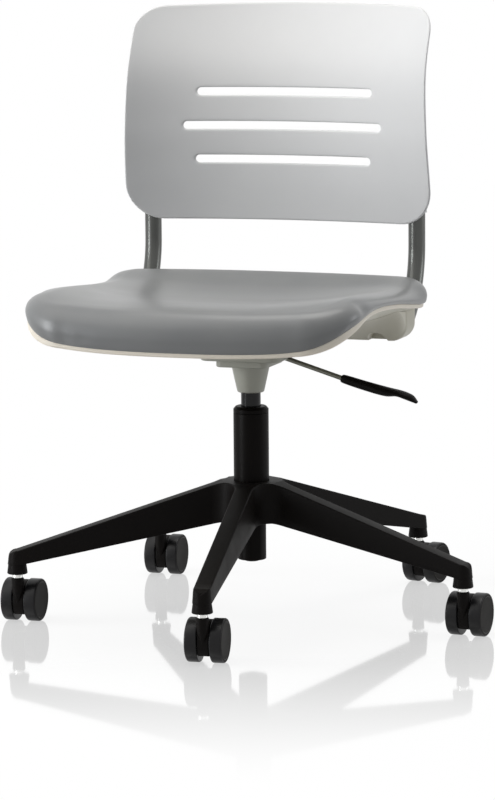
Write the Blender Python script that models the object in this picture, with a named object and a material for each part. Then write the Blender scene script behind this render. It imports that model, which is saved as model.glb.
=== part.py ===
"""Armless task chair: five-star base on twin-wheel casters, gas lift, padded seat, slotted sprung back.

Chair frame: metres, +Z up, the sitter faces -Y, the lift lever is on the +X side, the floor is z = 0.
The finished chair stands with the bottom centre of its outline at the origin.
"""
import math

import bmesh
import bpy
from mathutils import Matrix, Vector

# Clearances
FIT_GAP = 0.0003
PAD_GAP = 0.0007
RUN_GAP = 0.0008

# Casters
WHEEL_RADIUS = 0.0303
WHEEL_WIDTH = 0.0172
CASTER_WIDTH = 0.0518
CASTER_TRAIL = 0.0266
TREAD_ROUND = 0.0026
AXLE_RADIUS = 0.0030
STEM_RADIUS = 0.0055
STEM_COLLAR_RADIUS = 0.0075
STEM_DEPTH_IN_LEG = 0.0240
STEM_DEPTH_IN_HOOD = 0.0220
HOOD_RADIUS = 0.0284
HOOD_FLOOR_GAP = 0.0125
HOOD_NECK_RADIUS = 0.0092
HOOD_TOP = 0.0660
WHEEL_SIDES = 20
CASTER_TURN_DEG = (-5.5, 4.1, 10.6, -1.3, -2.3)

# Five-star base
LEG_COUNT = 5
LEG_TURN_DEG = 7.4
STEM_CIRCLE = 0.3334
HUB_TOP = 0.1970
HUB_BOTTOM = 0.1407
HUB_VALLEY = 0.0430
LEG_TOP_HALF = 0.0125
LEG_TIP_HALF = 0.0120
LEG_FLARE = 0.0050
LEG_TIP_FLARE = 0.0015
LEG_TIP_TOP = 0.1062
LEG_TIP_BOTTOM = 0.0853
LEG_TIP_ROLL = 0.0075
LEG_WALL = 0.0034
LEG_RIB = 0.0035
LEG_BAYS = 3
BAY_START = 0.0780
BAY_END = 0.3020
SOCKET_BOTTOM = 0.0722
SOCKET_RADIUS = 0.0146
SOCKET_TOP_RADIUS = 0.0112

# Gas lift
COLUMN_RADIUS = 0.0250
LIFT_SHOWN = 0.0197
COLUMN_TAPER_TOP = 0.1980
COLUMN_BOTTOM = 0.0840
COLUMN_FOOT_RADIUS = 0.0202
COLUMN_WALL = 0.0016
COLUMN_FLOOR = 0.0030
BUSH_CAP = 0.0090
BUSH_LENGTH = 0.0600
CYLINDER_RADIUS = 0.0140
CYLINDER_NOSE_RADIUS = 0.0129
CYLINDER_WALL = 0.0024
CYLINDER_BOTTOM = 0.1180
CYLINDER_END = 0.0060
CYLINDER_HEAD = 0.0180
ROD_RADIUS = 0.0050
ROD_BOTTOM = 0.0805
PISTON_DEPTH = 0.0580
PISTON_HEIGHT = 0.0080
ROD_COLLAR_RADIUS = 0.0085
BEARING_HEIGHT = 0.0090
BEARING_RADIUS = 0.0105
CLIP_THICKNESS = 0.0024
CLIP_RADIUS = 0.0095
BUTTON_RADIUS = 0.0045
BUTTON_SEAT_DEPTH = 0.0120

# Column socket under the seat
CONE_HEIGHT = 0.0370
CONE_STEP = 0.0025
CONE_BOTTOM_RADIUS = 0.0188
CONE_TOP_RADIUS = 0.0275
PAD_STEP = 0.0095
PAD_CORNER = 0.0100
PAD_HALF_WIDTH = 0.0380
PAD_FRONT = -0.0460
PAD_REAR = 0.0360
FLANGE_HEIGHT = 0.0267
FLANGE_CORNER = 0.0140
FLANGE_HALF_WIDTH = 0.0590
FLANGE_FRONT = -0.0560
FLANGE_REAR = 0.0540
PLATE_THICKNESS = 0.0060
PLATE_CORNER = 0.0120
PLATE_MARGIN = 0.0040
NOSE_HEIGHT = 0.0445
CAVITY_HALF_WIDTH = 0.0105

# Lift lever
LEVER_PIVOT_X = 0.0350
LEVER_PIVOT_RISE = 0.0060
LEVER_SLOPE_DEG = 17.0
LEVER_INNER_REACH = 0.0440
LEVER_OUTER_REACH = 0.1240
LEVER_ROD_RADIUS = 0.0034
LEVER_BOSS_RADIUS = 0.0060
LEVER_PIN_RADIUS = 0.0020
LEVER_PIN_LENGTH = 0.0440
GRIP_START = 0.1040
GRIP_LENGTH = 0.1130

# Seat outline; its height lines run from the rear edge: (share of the depth, share of the sweep above its height)
SEAT_HALF_WIDTH = 0.2360
SEAT_DEPTH = 0.4220
SEAT_REAR = 0.1050
SEAT_HEIGHT = 0.4500
SEAT_SWEEP = 0.0400
SEAT_STACK = 0.0453
SEAT_REAR_CORNER = 0.0420
SEAT_FRONT_CORNER = 0.0720
SEAT_FRONT_BOW = 0.0120
SEAT_CENTRE_Y = -0.0900
RIM_LINE = ((0.0, 0.05), (0.107, -0.025), (0.225, 0.088), (0.415, 0.312), (0.628, 0.425), (0.758, 0.30),
            (0.865, -0.012), (0.936, -0.338), (1.0, -0.688))
SHELL_CENTRE_LINE = ((0.0, -0.05), (0.095, -0.40), (0.201, -0.80), (0.367, -0.988), (0.557, -0.925),
                     (0.746, -0.80), (0.889, -0.775), (1.0, -0.80))
PAD_CREST_LINE = ((0.0, 0.90), (0.071, 0.85), (0.178, 0.60), (0.32, 0.612), (0.533, 0.775), (0.723, 0.90),
                  (0.841, 0.85), (0.936, 0.60), (1.0, 0.25))
PAD_CENTRE_LINE = ((0.0, 0.975), (0.071, 0.90), (0.166, 0.45), (0.32, 0.175), (0.533, 0.275), (0.723, 0.46),
                   (0.841, 0.55), (0.936, 0.54), (1.0, 0.30))
PAD_ROUND = 0.0300
RIM_HEIGHT = 0.0060
RIM_BULGE = 0.0004
RIM_ROUND = 0.0010
RIM_WIDTH = 0.0050
SHELL_THICKNESS = 0.0050
SHELL_BOSS_RADIUS = 0.0090
SHELL_BOSS_X = 0.0450
SHELL_BOSS_Y = 0.0385
OUTLINE_POINTS = 40

# Pivot housings, recline hinge and cross rail under the rear of the seat
HOUSING_INSET = 0.0210
HOUSING_LENGTH = 0.1025
HOUSING_FRONT_REACH = 0.0400
HOUSING_REAR_REACH = 0.0158
HOUSING_DROP = 0.0545
HOUSING_CORNER = 0.0230
HOUSING_EDGE = 0.0040
HOUSING_FRONT_ROUND = 0.0260
HOUSING_REAR_ROUND = 0.0140
RECESS_INSET = 0.0425
RECESS_HALF_WIDTH = 0.0145
RECESS_HEIGHT = 0.0130
RECESS_DEPTH = 0.0240
HINGE_PIN_RADIUS = 0.0055
HINGE_HUB_RADIUS = 0.0126
HINGE_HUB_OUTER = 0.0085
TORSION_BUSH_RADIUS = 0.0122
TORSION_BUSH_INSET = 0.0130
SLOT_SIDE_GAP = 0.0010
SLOT_FLOOR_GAP = 0.0014
RAIL_BUSH_GAP = 0.0035
RAIL_WIDTH = 0.0200
RAIL_HEIGHT = 0.0150
RAIL_ENTRY = 0.0180
SCREW_HEAD_RADIUS = 0.0060
SCREW_HEAD_HEIGHT = 0.0030
SCREW_SHANK_RADIUS = 0.0024
SCREW_LENGTH = 0.0180

# Back tubes
TUBE_RADIUS = 0.0121
TUBE_WALL = 0.0016
TUBE_INSET = 0.0360
TUBE_Y = 0.1506
TUBE_BEND_RADIUS = 0.1200
TUBE_BEND_DEG = 62.0
TUBE_FOOT = 0.0023
TUBE_IN_SLEEVE = 0.0820
HINGE_DROP = 0.0345
TUBE_SIDES = 12

# Back shell; its lines run up from the bottom edge: share of the height against share of rake, bend or half width
BACK_GAP = 0.1010
BACK_HEIGHT = 0.3100
BACK_RAKE = 0.0944
BACK_BEND_RADIUS = 0.3125
BACK_OVERHANG = 0.0307
BACK_THICKNESS = 0.0060
BACK_TOP_DROP = 0.0042
BACK_TOP_CORNER = 0.0400
BACK_BOTTOM_CORNER = 0.0520
BACK_DEPTH_LINE = ((-0.013, 0.132), (0.223, 0.110), (0.448, 0.163), (0.706, 0.396), (1.0, 1.0))
BACK_CURVE_LINE = ((-0.013, 0.428), (0.223, 0.566), (0.448, 0.703), (0.706, 0.859), (1.0, 1.0))
BACK_WIDTH_LINE = ((-0.013, 1.0), (0.223, 0.993), (0.448, 0.981), (0.706, 0.969), (1.0, 0.966))
SLOT_HEIGHT = 0.0120
SLOT_RISE = 0.0879
SLOT_PITCH = 0.0484
SLOT_LONG_HALF = 0.1494
SLOT_SHORT_HALF = 0.1322
SLEEVE_WALL = 0.0020
SLEEVE_RISE = 0.0170
SLEEVE_CAP = 0.0040
BACK_COLUMNS = 16
BACK_ROWS = 8
CORNER_STEPS = 4

# Places that follow from the sizes
COLUMN_TAPER_BOTTOM = HUB_BOTTOM
SEAT_FRONT = SEAT_REAR - SEAT_DEPTH
PLATE_TOP = SEAT_HEIGHT - SEAT_STACK
PLATE_BOTTOM = PLATE_TOP - PLATE_THICKNESS
FLANGE_BOTTOM = PLATE_BOTTOM - FLANGE_HEIGHT
PAD_BOTTOM = FLANGE_BOTTOM - PAD_STEP
CONE_TOP = PAD_BOTTOM - CONE_STEP
CONE_BOTTOM = CONE_TOP - CONE_HEIGHT
NOSE_TOP = CONE_BOTTOM + NOSE_HEIGHT
CYLINDER_CAVITY_TOP = CONE_BOTTOM - CYLINDER_HEAD
COLUMN_TOP = CONE_BOTTOM - LIFT_SHOWN - BUSH_CAP - FIT_GAP
PISTON_TOP = COLUMN_TOP - PISTON_DEPTH
LEVER_PIVOT_Z = FLANGE_BOTTOM + LEVER_PIVOT_RISE
TUBE_BEND = math.radians(TUBE_BEND_DEG)
TUBE_X = SEAT_HALF_WIDTH - TUBE_INSET
HINGE_Z = SEAT_HEIGHT - HINGE_DROP
BEND_END_Z = HINGE_Z + TUBE_FOOT * math.cos(TUBE_BEND)
BEND_END_Y = TUBE_Y - TUBE_BEND_RADIUS * (1.0 - math.cos(TUBE_BEND))
TUBE_BEND_TOP = BEND_END_Z + TUBE_BEND_RADIUS * math.sin(TUBE_BEND)
HINGE_Y = BEND_END_Y - TUBE_FOOT * math.sin(TUBE_BEND)
HOUSING_OUTER = SEAT_HALF_WIDTH - HOUSING_INSET
HOUSING_INNER = HOUSING_OUTER - HOUSING_LENGTH
HOUSING_FRONT = HINGE_Y - HOUSING_FRONT_REACH
HOUSING_REAR = HINGE_Y + HOUSING_REAR_REACH
HOUSING_BOTTOM = SEAT_HEIGHT - HOUSING_DROP
RECESS_X = HOUSING_OUTER - RECESS_INSET
TORSION_BUSH_INNER_X = HOUSING_INNER + TORSION_BUSH_INSET
RAIL_REAR = HINGE_Y - TORSION_BUSH_RADIUS - RAIL_BUSH_GAP
RAIL_FRONT = RAIL_REAR - RAIL_WIDTH
RAIL_HALF_LENGTH = HOUSING_INNER + RAIL_ENTRY
PLATE_REAR = RAIL_REAR + PLATE_MARGIN
BACK_BOTTOM = SEAT_HEIGHT + BACK_GAP
BACK_TOP = BACK_BOTTOM + BACK_HEIGHT
BACK_HALF_WIDTH = TUBE_X + BACK_OVERHANG
SLEEVE_BOTTOM = BACK_BOTTOM + SLEEVE_RISE
TUBE_TOP = SLEEVE_BOTTOM + TUBE_IN_SLEEVE
SLOT_LOW = BACK_BOTTOM + SLOT_RISE
SLOTS = ((SLOT_LOW + 2.0 * SLOT_PITCH, SLOT_SHORT_HALF), (SLOT_LOW + SLOT_PITCH, SLOT_LONG_HALF),
         (SLOT_LOW, SLOT_SHORT_HALF))
LEVER_SLOPE = math.radians(LEVER_SLOPE_DEG)
BUTTON_TOP = (LEVER_PIVOT_Z + (LEVER_PIVOT_X - BUTTON_RADIUS + 0.0012) * math.tan(LEVER_SLOPE)
              - LEVER_ROD_RADIUS / math.cos(LEVER_SLOPE) - FIT_GAP)


# Helpers for meshes

def smooth_line(points, at):
    """Height on a monotone-slope cubic through a few (place, value) points, held flat past its ends."""
    ordered = sorted(points)
    places = [p[0] for p in ordered]
    values = [p[1] for p in ordered]
    if at <= places[0]:
        return values[0]
    if at >= places[-1]:
        return values[-1]
    slopes = []
    for i in range(len(ordered)):
        before = max(i - 1, 0)
        after = min(i + 1, len(ordered) - 1)
        slopes.append((values[after] - values[before]) / (places[after] - places[before]))
    i = max(k for k in range(len(places) - 1) if places[k] <= at)
    span = places[i + 1] - places[i]
    t = (at - places[i]) / span
    return (values[i] * (1 + 2 * t) * (1 - t) ** 2 + slopes[i] * span * t * (1 - t) ** 2
            + values[i + 1] * t * t * (3 - 2 * t) + slopes[i + 1] * span * t * t * (t - 1))


def finish(bm):
    """Merge doubles and turn every face outwards."""
    bmesh.ops.remove_doubles(bm, verts=bm.verts, dist=0.00001)
    bmesh.ops.recalc_face_normals(bm, faces=bm.faces)
    return bm


def bridge(bm, low, high, split=False):
    """Faces between two rings of vertices; a ring of one vertex makes a fan, split=True makes triangles."""
    count = max(len(low), len(high))
    for i in range(count):
        j = (i + 1) % count
        corners = [low[i % len(low)], low[j % len(low)], high[j % len(high)], high[i % len(high)]]
        unique = []
        for corner in corners:
            if corner not in unique:
                unique.append(corner)
        if split and len(unique) == 4:
            bm.faces.new(unique[:3])
            bm.faces.new([unique[0], unique[2], unique[3]])
        elif len(unique) > 2:
            bm.faces.new(unique)


def rings_solid(rings, closed=False, split=False):
    """A solid from rings of points; open ends are capped, closed=True joins the last ring to the first."""
    bm = bmesh.new()
    made = [[bm.verts.new(p) for p in ring] for ring in rings]
    for low, high in zip(made, made[1:]):
        bridge(bm, low, high, split)
    if closed:
        bridge(bm, made[-1], made[0])
    else:
        for ring in (made[0], made[-1]):
            if len(ring) > 2:
                bm.faces.new(ring)
    return finish(bm)


def circle(radius, height, sides, phase=0.0):
    """Points of a ring about Z."""
    if radius == 0.0:
        return [Vector((0.0, 0.0, height))]
    step = 2.0 * math.pi / sides
    return [Vector((radius * math.cos(phase + i * step), radius * math.sin(phase + i * step), height))
            for i in range(sides)]


def turned(profile, sides, closed=False, phase=0.0):
    """Solid of revolution about Z from (radius, height) points."""
    return rings_solid([circle(r, z, sides, phase) for r, z in profile], closed)


def box(low, high):
    """Box between two corners."""
    bm = bmesh.new()
    bmesh.ops.create_cube(bm, size=1.0)
    for v in bm.verts:
        for axis in range(3):
            v.co[axis] = high[axis] if v.co[axis] > 0 else low[axis]
    return bm


def rounded_slab(low, high, corner, steps=4):
    """Plate with its four upright edges rounded."""
    points = []
    for cx, cy, start in ((high[0] - corner, high[1] - corner, 0), (low[0] + corner, high[1] - corner, 90),
                          (low[0] + corner, low[1] + corner, 180), (high[0] - corner, low[1] + corner, 270)):
        for i in range(steps + 1):
            turn = math.radians(start + 90.0 * i / steps)
            points.append((cx + corner * math.cos(turn), cy + corner * math.sin(turn)))
    return rings_solid([[Vector((x, y, z)) for x, y in points] for z in (low[2], high[2])])


def along_x(bm, y, z):
    """Turn a solid of revolution so its axis lies along X through (y, z)."""
    bm.transform(Matrix.Translation((0.0, y, z)) @ Matrix.Rotation(math.radians(90), 4, "Y"))
    return bm


def sweep(points, radius, sides):
    """Round bar along points that lie in one plane x = constant."""
    rings = []
    for i, point in enumerate(points):
        before = points[max(i - 1, 0)]
        after = points[min(i + 1, len(points) - 1)]
        along = (after - before).normalized()
        across = Vector((1.0, 0.0, 0.0))
        up = along.cross(across).normalized()
        rings.append([point + radius * (math.cos(2 * math.pi * k / sides) * across
                                        + math.sin(2 * math.pi * k / sides) * up) for k in range(sides)])
    return rings_solid(rings)


def to_mesh(bm, name):
    mesh = bpy.data.meshes.new(name)
    bm.to_mesh(mesh)
    bm.free()
    return mesh


def joined(parts):
    """Several separate solids in one mesh, used as one cutter."""
    bm = bmesh.new()
    for part in parts:
        mesh = to_mesh(part, "tool")
        bm.from_mesh(mesh)
        bpy.data.meshes.remove(mesh)
    return bm


def flat(face):
    """Whether all corners of a face lie in one plane."""
    middle = face.calc_center_median()
    return max(abs((v.co - middle).dot(face.normal)) for v in face.verts) < 0.000001


def carved(bm, steps):
    """Apply exact Booleans in turn: steps are ("UNION" or "DIFFERENCE", solid) pairs."""
    for solid in [bm] + [tool for operation, tool in steps]:
        curved = [f for f in solid.faces if len(f.verts) > 3 and not flat(f)]
        bmesh.ops.triangulate(solid, faces=curved)
    body = bpy.data.objects.new("carved", to_mesh(bm, "carved"))
    bpy.context.scene.collection.objects.link(body)
    tools = []
    for operation, tool_bm in steps:
        tool = bpy.data.objects.new("tool", to_mesh(tool_bm, "tool"))
        tool.hide_render = True
        tool.display_type = "WIRE"
        bpy.context.scene.collection.objects.link(tool)
        tools.append(tool)
        modifier = body.modifiers.new(operation.lower(), "BOOLEAN")
        modifier.operation = operation
        modifier.solver = "EXACT"
        modifier.object = tool
    depsgraph = bpy.context.evaluated_depsgraph_get()
    mesh = bpy.data.meshes.new_from_object(body.evaluated_get(depsgraph))
    result = bmesh.new()
    result.from_mesh(mesh)
    for thing in tools + [body]:
        old = thing.data
        bpy.data.objects.remove(thing)
        bpy.data.meshes.remove(old)
    bpy.data.meshes.remove(mesh)
    bmesh.ops.remove_doubles(result, verts=result.verts, dist=0.000002)
    return result


def mirrored(bm):
    """The same solid on the other side of the chair."""
    bm.transform(Matrix.Scale(-1.0, 4, (1.0, 0.0, 0.0)))
    bmesh.ops.reverse_faces(bm, faces=bm.faces)
    return bm


# Scene helpers

pivots = {}
materials = {}


def axis(name, place, parent=None, turn=0.0):
    """Empty on a joint axis; pieces that move with it are its children."""
    empty = bpy.data.objects.new(name, None)
    empty.empty_display_size = 0.03
    bpy.context.scene.collection.objects.link(empty)
    pivots[name] = Vector(place)
    empty.parent = parent
    empty.location = Vector(place) - (pivots[parent.name] if parent else Vector((0.0, 0.0, 0.0)))
    empty.rotation_euler = (0.0, 0.0, turn)
    return empty


def finish_material(name, colour, roughness, metallic=0.0):
    material = bpy.data.materials.new(name)
    material.use_nodes = True
    shader = material.node_tree.nodes["Principled BSDF"]
    shader.inputs["Base Color"].default_value = (*colour, 1.0)
    shader.inputs["Roughness"].default_value = roughness
    shader.inputs["Metallic"].default_value = metallic
    material.diffuse_color = (*colour, 1.0)
    materials[name] = material


def piece(name, mesh, material, frame):
    """Named object carried by a joint's empty; its mesh is measured from that empty."""
    mesh.name = name
    mesh.shade_smooth()
    mesh.set_sharp_from_angle(angle=math.radians(35))
    mesh.materials.clear()
    mesh.materials.append(materials[material])
    item = bpy.data.objects.new(name, mesh)
    bpy.context.scene.collection.objects.link(item)
    item.parent = frame
    return item


def chair_piece(name, bm, material, frame):
    """Piece modelled in the chair frame."""
    bm.transform(Matrix.Translation(-pivots[frame.name]))
    return piece(name, to_mesh(bm, name), material, frame)


# Seat surfaces

def seat_outline(count):
    """Points round the seat, seen from above, evenly spaced and starting at the rear centre."""
    rear_y = SEAT_REAR - SEAT_REAR_CORNER
    front_y = SEAT_FRONT + SEAT_FRONT_BOW + SEAT_FRONT_CORNER
    half = [Vector((0.0, SEAT_REAR))]
    for i in range(25):
        turn = math.radians(90.0 - 90.0 * i / 24)
        half.append(Vector((SEAT_HALF_WIDTH - SEAT_REAR_CORNER + SEAT_REAR_CORNER * math.cos(turn),
                            rear_y + SEAT_REAR_CORNER * math.sin(turn))))
    for i in range(25):
        turn = math.radians(-90.0 * i / 24)
        half.append(Vector((SEAT_HALF_WIDTH - SEAT_FRONT_CORNER + SEAT_FRONT_CORNER * math.cos(turn),
                            front_y + SEAT_FRONT_CORNER * math.sin(turn))))
    last_x = half[-1].x
    for i in range(1, 13):
        x = last_x * (1.0 - i / 12)
        half.append(Vector((x, SEAT_FRONT + SEAT_FRONT_BOW * (x / last_x) ** 2)))
    loop = half + [Vector((-p.x, p.y)) for p in reversed(half[1:-1])]
    lengths = [0.0]
    for a, b in zip(loop, loop[1:] + loop[:1]):
        lengths.append(lengths[-1] + (b - a).length)
    points = []
    k = 0
    for i in range(count):
        target = lengths[-1] * i / count
        while lengths[k + 1] < target:
            k += 1
        share = (target - lengths[k]) / (lengths[k + 1] - lengths[k])
        points.append(loop[k].lerp(loop[(k + 1) % len(loop)], share))
    return points


def inset_ring(outline, inset, shrink=1.0):
    """The outline moved inwards by a distance, then drawn towards the seat's centre."""
    centre = Vector((0.0, SEAT_CENTRE_Y))
    ring = []
    for i, p in enumerate(outline):
        along = (outline[(i + 1) % len(outline)] - outline[i - 1]).normalized()
        inward = Vector((along.y, -along.x))
        if inward.dot(centre - p) < 0.0:
            inward.negate()
        ring.append(centre + shrink * (p + inset * inward - centre))
    return ring


def seat_line(line, y):
    """Height of one of the seat's lines."""
    return SEAT_HEIGHT + SEAT_SWEEP * smooth_line(line, (SEAT_REAR - y) / SEAT_DEPTH)


def shell_height(x, y):
    """Upper face of the seat shell."""
    low = seat_line(SHELL_CENTRE_LINE, y)
    side = seat_line(RIM_LINE, y)
    return low + (side - low) * min(abs(x) / SEAT_HALF_WIDTH, 1.0) ** 2.2


def pad_height(x, y):
    """Upper face of the cushion inside its rounded border."""
    low = seat_line(PAD_CENTRE_LINE, y)
    side = seat_line(PAD_CREST_LINE, y)
    return low + (side - low) * min(abs(x) / (0.88 * SEAT_HALF_WIDTH), 1.0) ** 2.6


# Rings of the pan and pad: (inset as a share of the rounded border, share of the way from the middle)
FLAT_RINGS = ((0.0, 1.0), (0.4, 1.0), (1.0, 1.0), (1.0, 0.78), (1.0, 0.52), (1.0, 0.26), (1.0, 0.0))
# Rounded border of the pad: (inset as a share of the border, share of the pad's height)
PAD_BORDER = ((-0.06, 0.16), (-0.10, 0.36), (0.0, 0.60), (0.217, 0.82), (0.533, 0.95))


def level(ring, height, offset=0.0):
    """Lift a plan ring onto a height function; a ring drawn to a point becomes one vertex."""
    lifted = [Vector((p.x, p.y, height(p.x, p.y) + offset)) for p in ring]
    if (lifted[0] - lifted[len(lifted) // 2]).length < 0.001:
        return lifted[:1]
    return lifted


def cushion_solid():
    """Crowned pad: sides drawn in at the rim, a rounded border and a dished top."""
    outline = seat_outline(OUTLINE_POINTS)
    rings = [level(inset_ring(outline, d * PAD_ROUND, s), shell_height, PAD_GAP)
             for d, s in reversed(FLAT_RINGS)]
    inner = inset_ring(outline, PAD_ROUND)
    for inset, share in PAD_BORDER:
        ring = []
        for p, q, o in zip(inset_ring(outline, inset * PAD_ROUND), inner, outline):
            base = shell_height(o.x, o.y) + PAD_GAP
            ring.append(Vector((p.x, p.y, base + share * (pad_height(q.x, q.y) - base))))
        rings.append(ring)
    rings += [level(inset_ring(outline, d * PAD_ROUND, s), pad_height) for d, s in FLAT_RINGS[2:]]
    return rings_solid(rings, split=True)


def shell_solid():
    """Moulded seat pan with an upright rim and four mounting bosses."""
    outline = seat_outline(OUTLINE_POINTS)
    rings = [level(inset_ring(outline, d * PAD_ROUND, s), shell_height) for d, s in reversed(FLAT_RINGS)]
    rings.append(level(inset_ring(outline, -RIM_BULGE), shell_height, -0.25 * RIM_HEIGHT))
    rings.append(level(inset_ring(outline, -RIM_BULGE), shell_height, -0.75 * RIM_HEIGHT))
    rings.append(level(inset_ring(outline, RIM_ROUND), shell_height, -RIM_HEIGHT))
    rings.append(level(inset_ring(outline, RIM_WIDTH), shell_height, -RIM_HEIGHT))
    rings += [level(inset_ring(outline, d * PAD_ROUND, s), shell_height, -SHELL_THICKNESS)
              for d, s in FLAT_RINGS[1:]]
    bosses = []
    for x in (-SHELL_BOSS_X, SHELL_BOSS_X):
        for y in (-SHELL_BOSS_Y, SHELL_BOSS_Y):
            top = shell_height(x, y) - 0.5 * SHELL_THICKNESS
            boss = turned(((SHELL_BOSS_RADIUS, PLATE_TOP + FIT_GAP), (SHELL_BOSS_RADIUS, top)), 12)
            boss.transform(Matrix.Translation((x, y, 0.0)))
            bosses.append(boss)
    return carved(rings_solid(rings, split=True), [("UNION", joined(bosses))])


# Five-star base

def leg_side():
    """Half of one leg's outline from the hub valley to the tip, along +X: (x, y) points with y >= 0."""
    valley = math.pi / LEG_COUNT
    arc = (HUB_VALLEY * math.sin(valley) - LEG_TOP_HALF) / (1.0 - math.sin(valley))
    centre = Vector(((HUB_VALLEY + arc) * math.cos(valley), (HUB_VALLEY + arc) * math.sin(valley)))
    points = []
    for i in range(6):
        turn = valley + math.pi + (math.radians(270.0) - valley - math.pi) * i / 5
        points.append(centre + arc * Vector((math.cos(turn), math.sin(turn))))
    for share in (0.35, 0.7, 1.0):
        x = points[5].x + share * (STEM_CIRCLE - points[5].x)
        points.append(Vector((x, LEG_TOP_HALF + share * (LEG_TIP_HALF - LEG_TOP_HALF))))
    for i in range(1, 5):
        turn = math.radians(90.0 - 22.5 * i)
        points.append(Vector((STEM_CIRCLE + LEG_TIP_HALF * math.cos(turn), LEG_TIP_HALF * math.sin(turn))))
    return points


def leg_top(r):
    """Height of a leg's flat top, rolling down round the tip."""
    share = min(max((r - HUB_VALLEY) / (STEM_CIRCLE - HUB_VALLEY), 0.0), 1.0)
    past = min(max((r - STEM_CIRCLE) / LEG_TIP_HALF, 0.0), 1.0)
    return HUB_TOP + share * (LEG_TIP_TOP - HUB_TOP) - LEG_TIP_ROLL * (1.0 - math.sqrt(1.0 - past * past))


def leg_bottom(r):
    share = min(max((r - HUB_VALLEY) / (STEM_CIRCLE - HUB_VALLEY), 0.0), 1.0)
    return HUB_BOTTOM + share * (LEG_TIP_BOTTOM - HUB_BOTTOM)


def leg_flare(x):
    """How far a leg's side stands out at its lower edge."""
    return LEG_FLARE + min(x / STEM_CIRCLE, 1.0) * (LEG_TIP_FLARE - LEG_FLARE)


def column_radius_at(z):
    """Outer radius of the tapered column tube."""
    share = min(max((COLUMN_TAPER_TOP - z) / (COLUMN_TAPER_TOP - COLUMN_TAPER_BOTTOM), 0.0), 1.0)
    return COLUMN_RADIUS + share * (COLUMN_FOOT_RADIUS - COLUMN_RADIUS)


def base_solid():
    """Star of tapering legs with flat tops and flaring sides, ribbed pockets below and stem sockets."""
    side = leg_side()
    valley = math.pi / LEG_COUNT
    bore_steps = 6
    star = bmesh.new()
    for leg in range(LEG_COUNT):
        turn = Matrix.Rotation(2.0 * math.pi * leg / LEG_COUNT, 4, "Z")

        def add(x, y, z):
            return star.verts.new(turn @ Vector((x, y, z)))

        rows = []
        for sign in (1, -1):
            top = []
            bottom = []
            for i, p in enumerate(side):
                after = side[min(i + 1, len(side) - 1)]
                before = side[max(i - 1, 0)]
                along = (after - before).normalized()
                outward = Vector((-along.y, along.x))
                if i == 0:
                    outward = Vector((math.cos(valley), math.sin(valley)))
                if i == len(side) - 1:
                    outward = Vector((1.0, 0.0))
                low = p + leg_flare(p.x) * outward
                top.append(add(p.x, sign * p.y, leg_top(p.x)))
                bottom.append(add(low.x, sign * low.y, leg_bottom(p.x)))
            rows.append((top, bottom))
        (left_top, left_low), (right_top, right_low) = rows
        for i in range(len(side) - 1):
            star.faces.new((left_top[i], left_top[i + 1], left_low[i + 1], left_low[i]))
            star.faces.new((right_top[i], right_low[i], right_low[i + 1], right_top[i + 1]))
            star.faces.new((left_top[i], right_top[i], right_top[i + 1], left_top[i + 1]))
            star.faces.new((left_low[i], left_low[i + 1], right_low[i + 1], right_low[i]))
        rings = []
        for z in (HUB_TOP, HUB_BOTTOM):
            radius = (column_radius_at(z) + FIT_GAP) / math.cos(valley / bore_steps)
            rings.append([add(radius * math.cos(valley * (2.0 * k / bore_steps - 1.0)),
                              radius * math.sin(valley * (2.0 * k / bore_steps - 1.0)), z)
                          for k in range(bore_steps + 1)])
        star.faces.new([left_top[0], right_top[0]] + rings[0])
        star.faces.new([left_low[0], right_low[0]] + rings[1])
        for k in range(bore_steps):
            star.faces.new((rings[0][k], rings[0][k + 1], rings[1][k + 1], rings[1][k]))
    finish(star)

    pockets = []
    sockets = []
    bores = []
    bay = (BAY_END - BAY_START + LEG_RIB) / LEG_BAYS
    for leg in range(LEG_COUNT):
        turn = Matrix.Rotation(2.0 * math.pi * leg / LEG_COUNT, 4, "Z")
        for k in range(LEG_BAYS):
            ends = []
            for x in (BAY_START + k * bay, BAY_START + (k + 1) * bay - LEG_RIB):
                share = x / STEM_CIRCLE
                half = LEG_TOP_HALF + share * (LEG_TIP_HALF - LEG_TOP_HALF) - LEG_WALL
                wide = half + leg_flare(x)
                low = leg_bottom(x) - 0.002
                high = leg_top(x) - LEG_WALL
                ends.append([Vector((x, -wide, low)), Vector((x, wide, low)),
                             Vector((x, half, high)), Vector((x, -half, high))])
            pocket = rings_solid(ends)
            pocket.transform(turn)
            pockets.append(pocket)
        socket = turned(((SOCKET_RADIUS - 0.001, SOCKET_BOTTOM), (SOCKET_RADIUS, SOCKET_BOTTOM + 0.001),
                         (SOCKET_TOP_RADIUS, LEG_TIP_TOP - LEG_TIP_ROLL)), 16)
        bore = turned(((STEM_RADIUS + FIT_GAP, SOCKET_BOTTOM - 0.002),
                       (STEM_RADIUS + FIT_GAP, SOCKET_BOTTOM + STEM_DEPTH_IN_LEG + FIT_GAP)), 10)
        for solid in (socket, bore):
            solid.transform(turn @ Matrix.Translation((STEM_CIRCLE, 0.0, 0.0)))
        sockets.append(socket)
        bores.append(bore)
    return carved(star, [("DIFFERENCE", joined(pockets)), ("UNION", joined(sockets)),
                         ("DIFFERENCE", joined(bores))])


# Casters, in their own frame: stem axis at the origin, floor z = 0, wheels trailing to +Y

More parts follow.
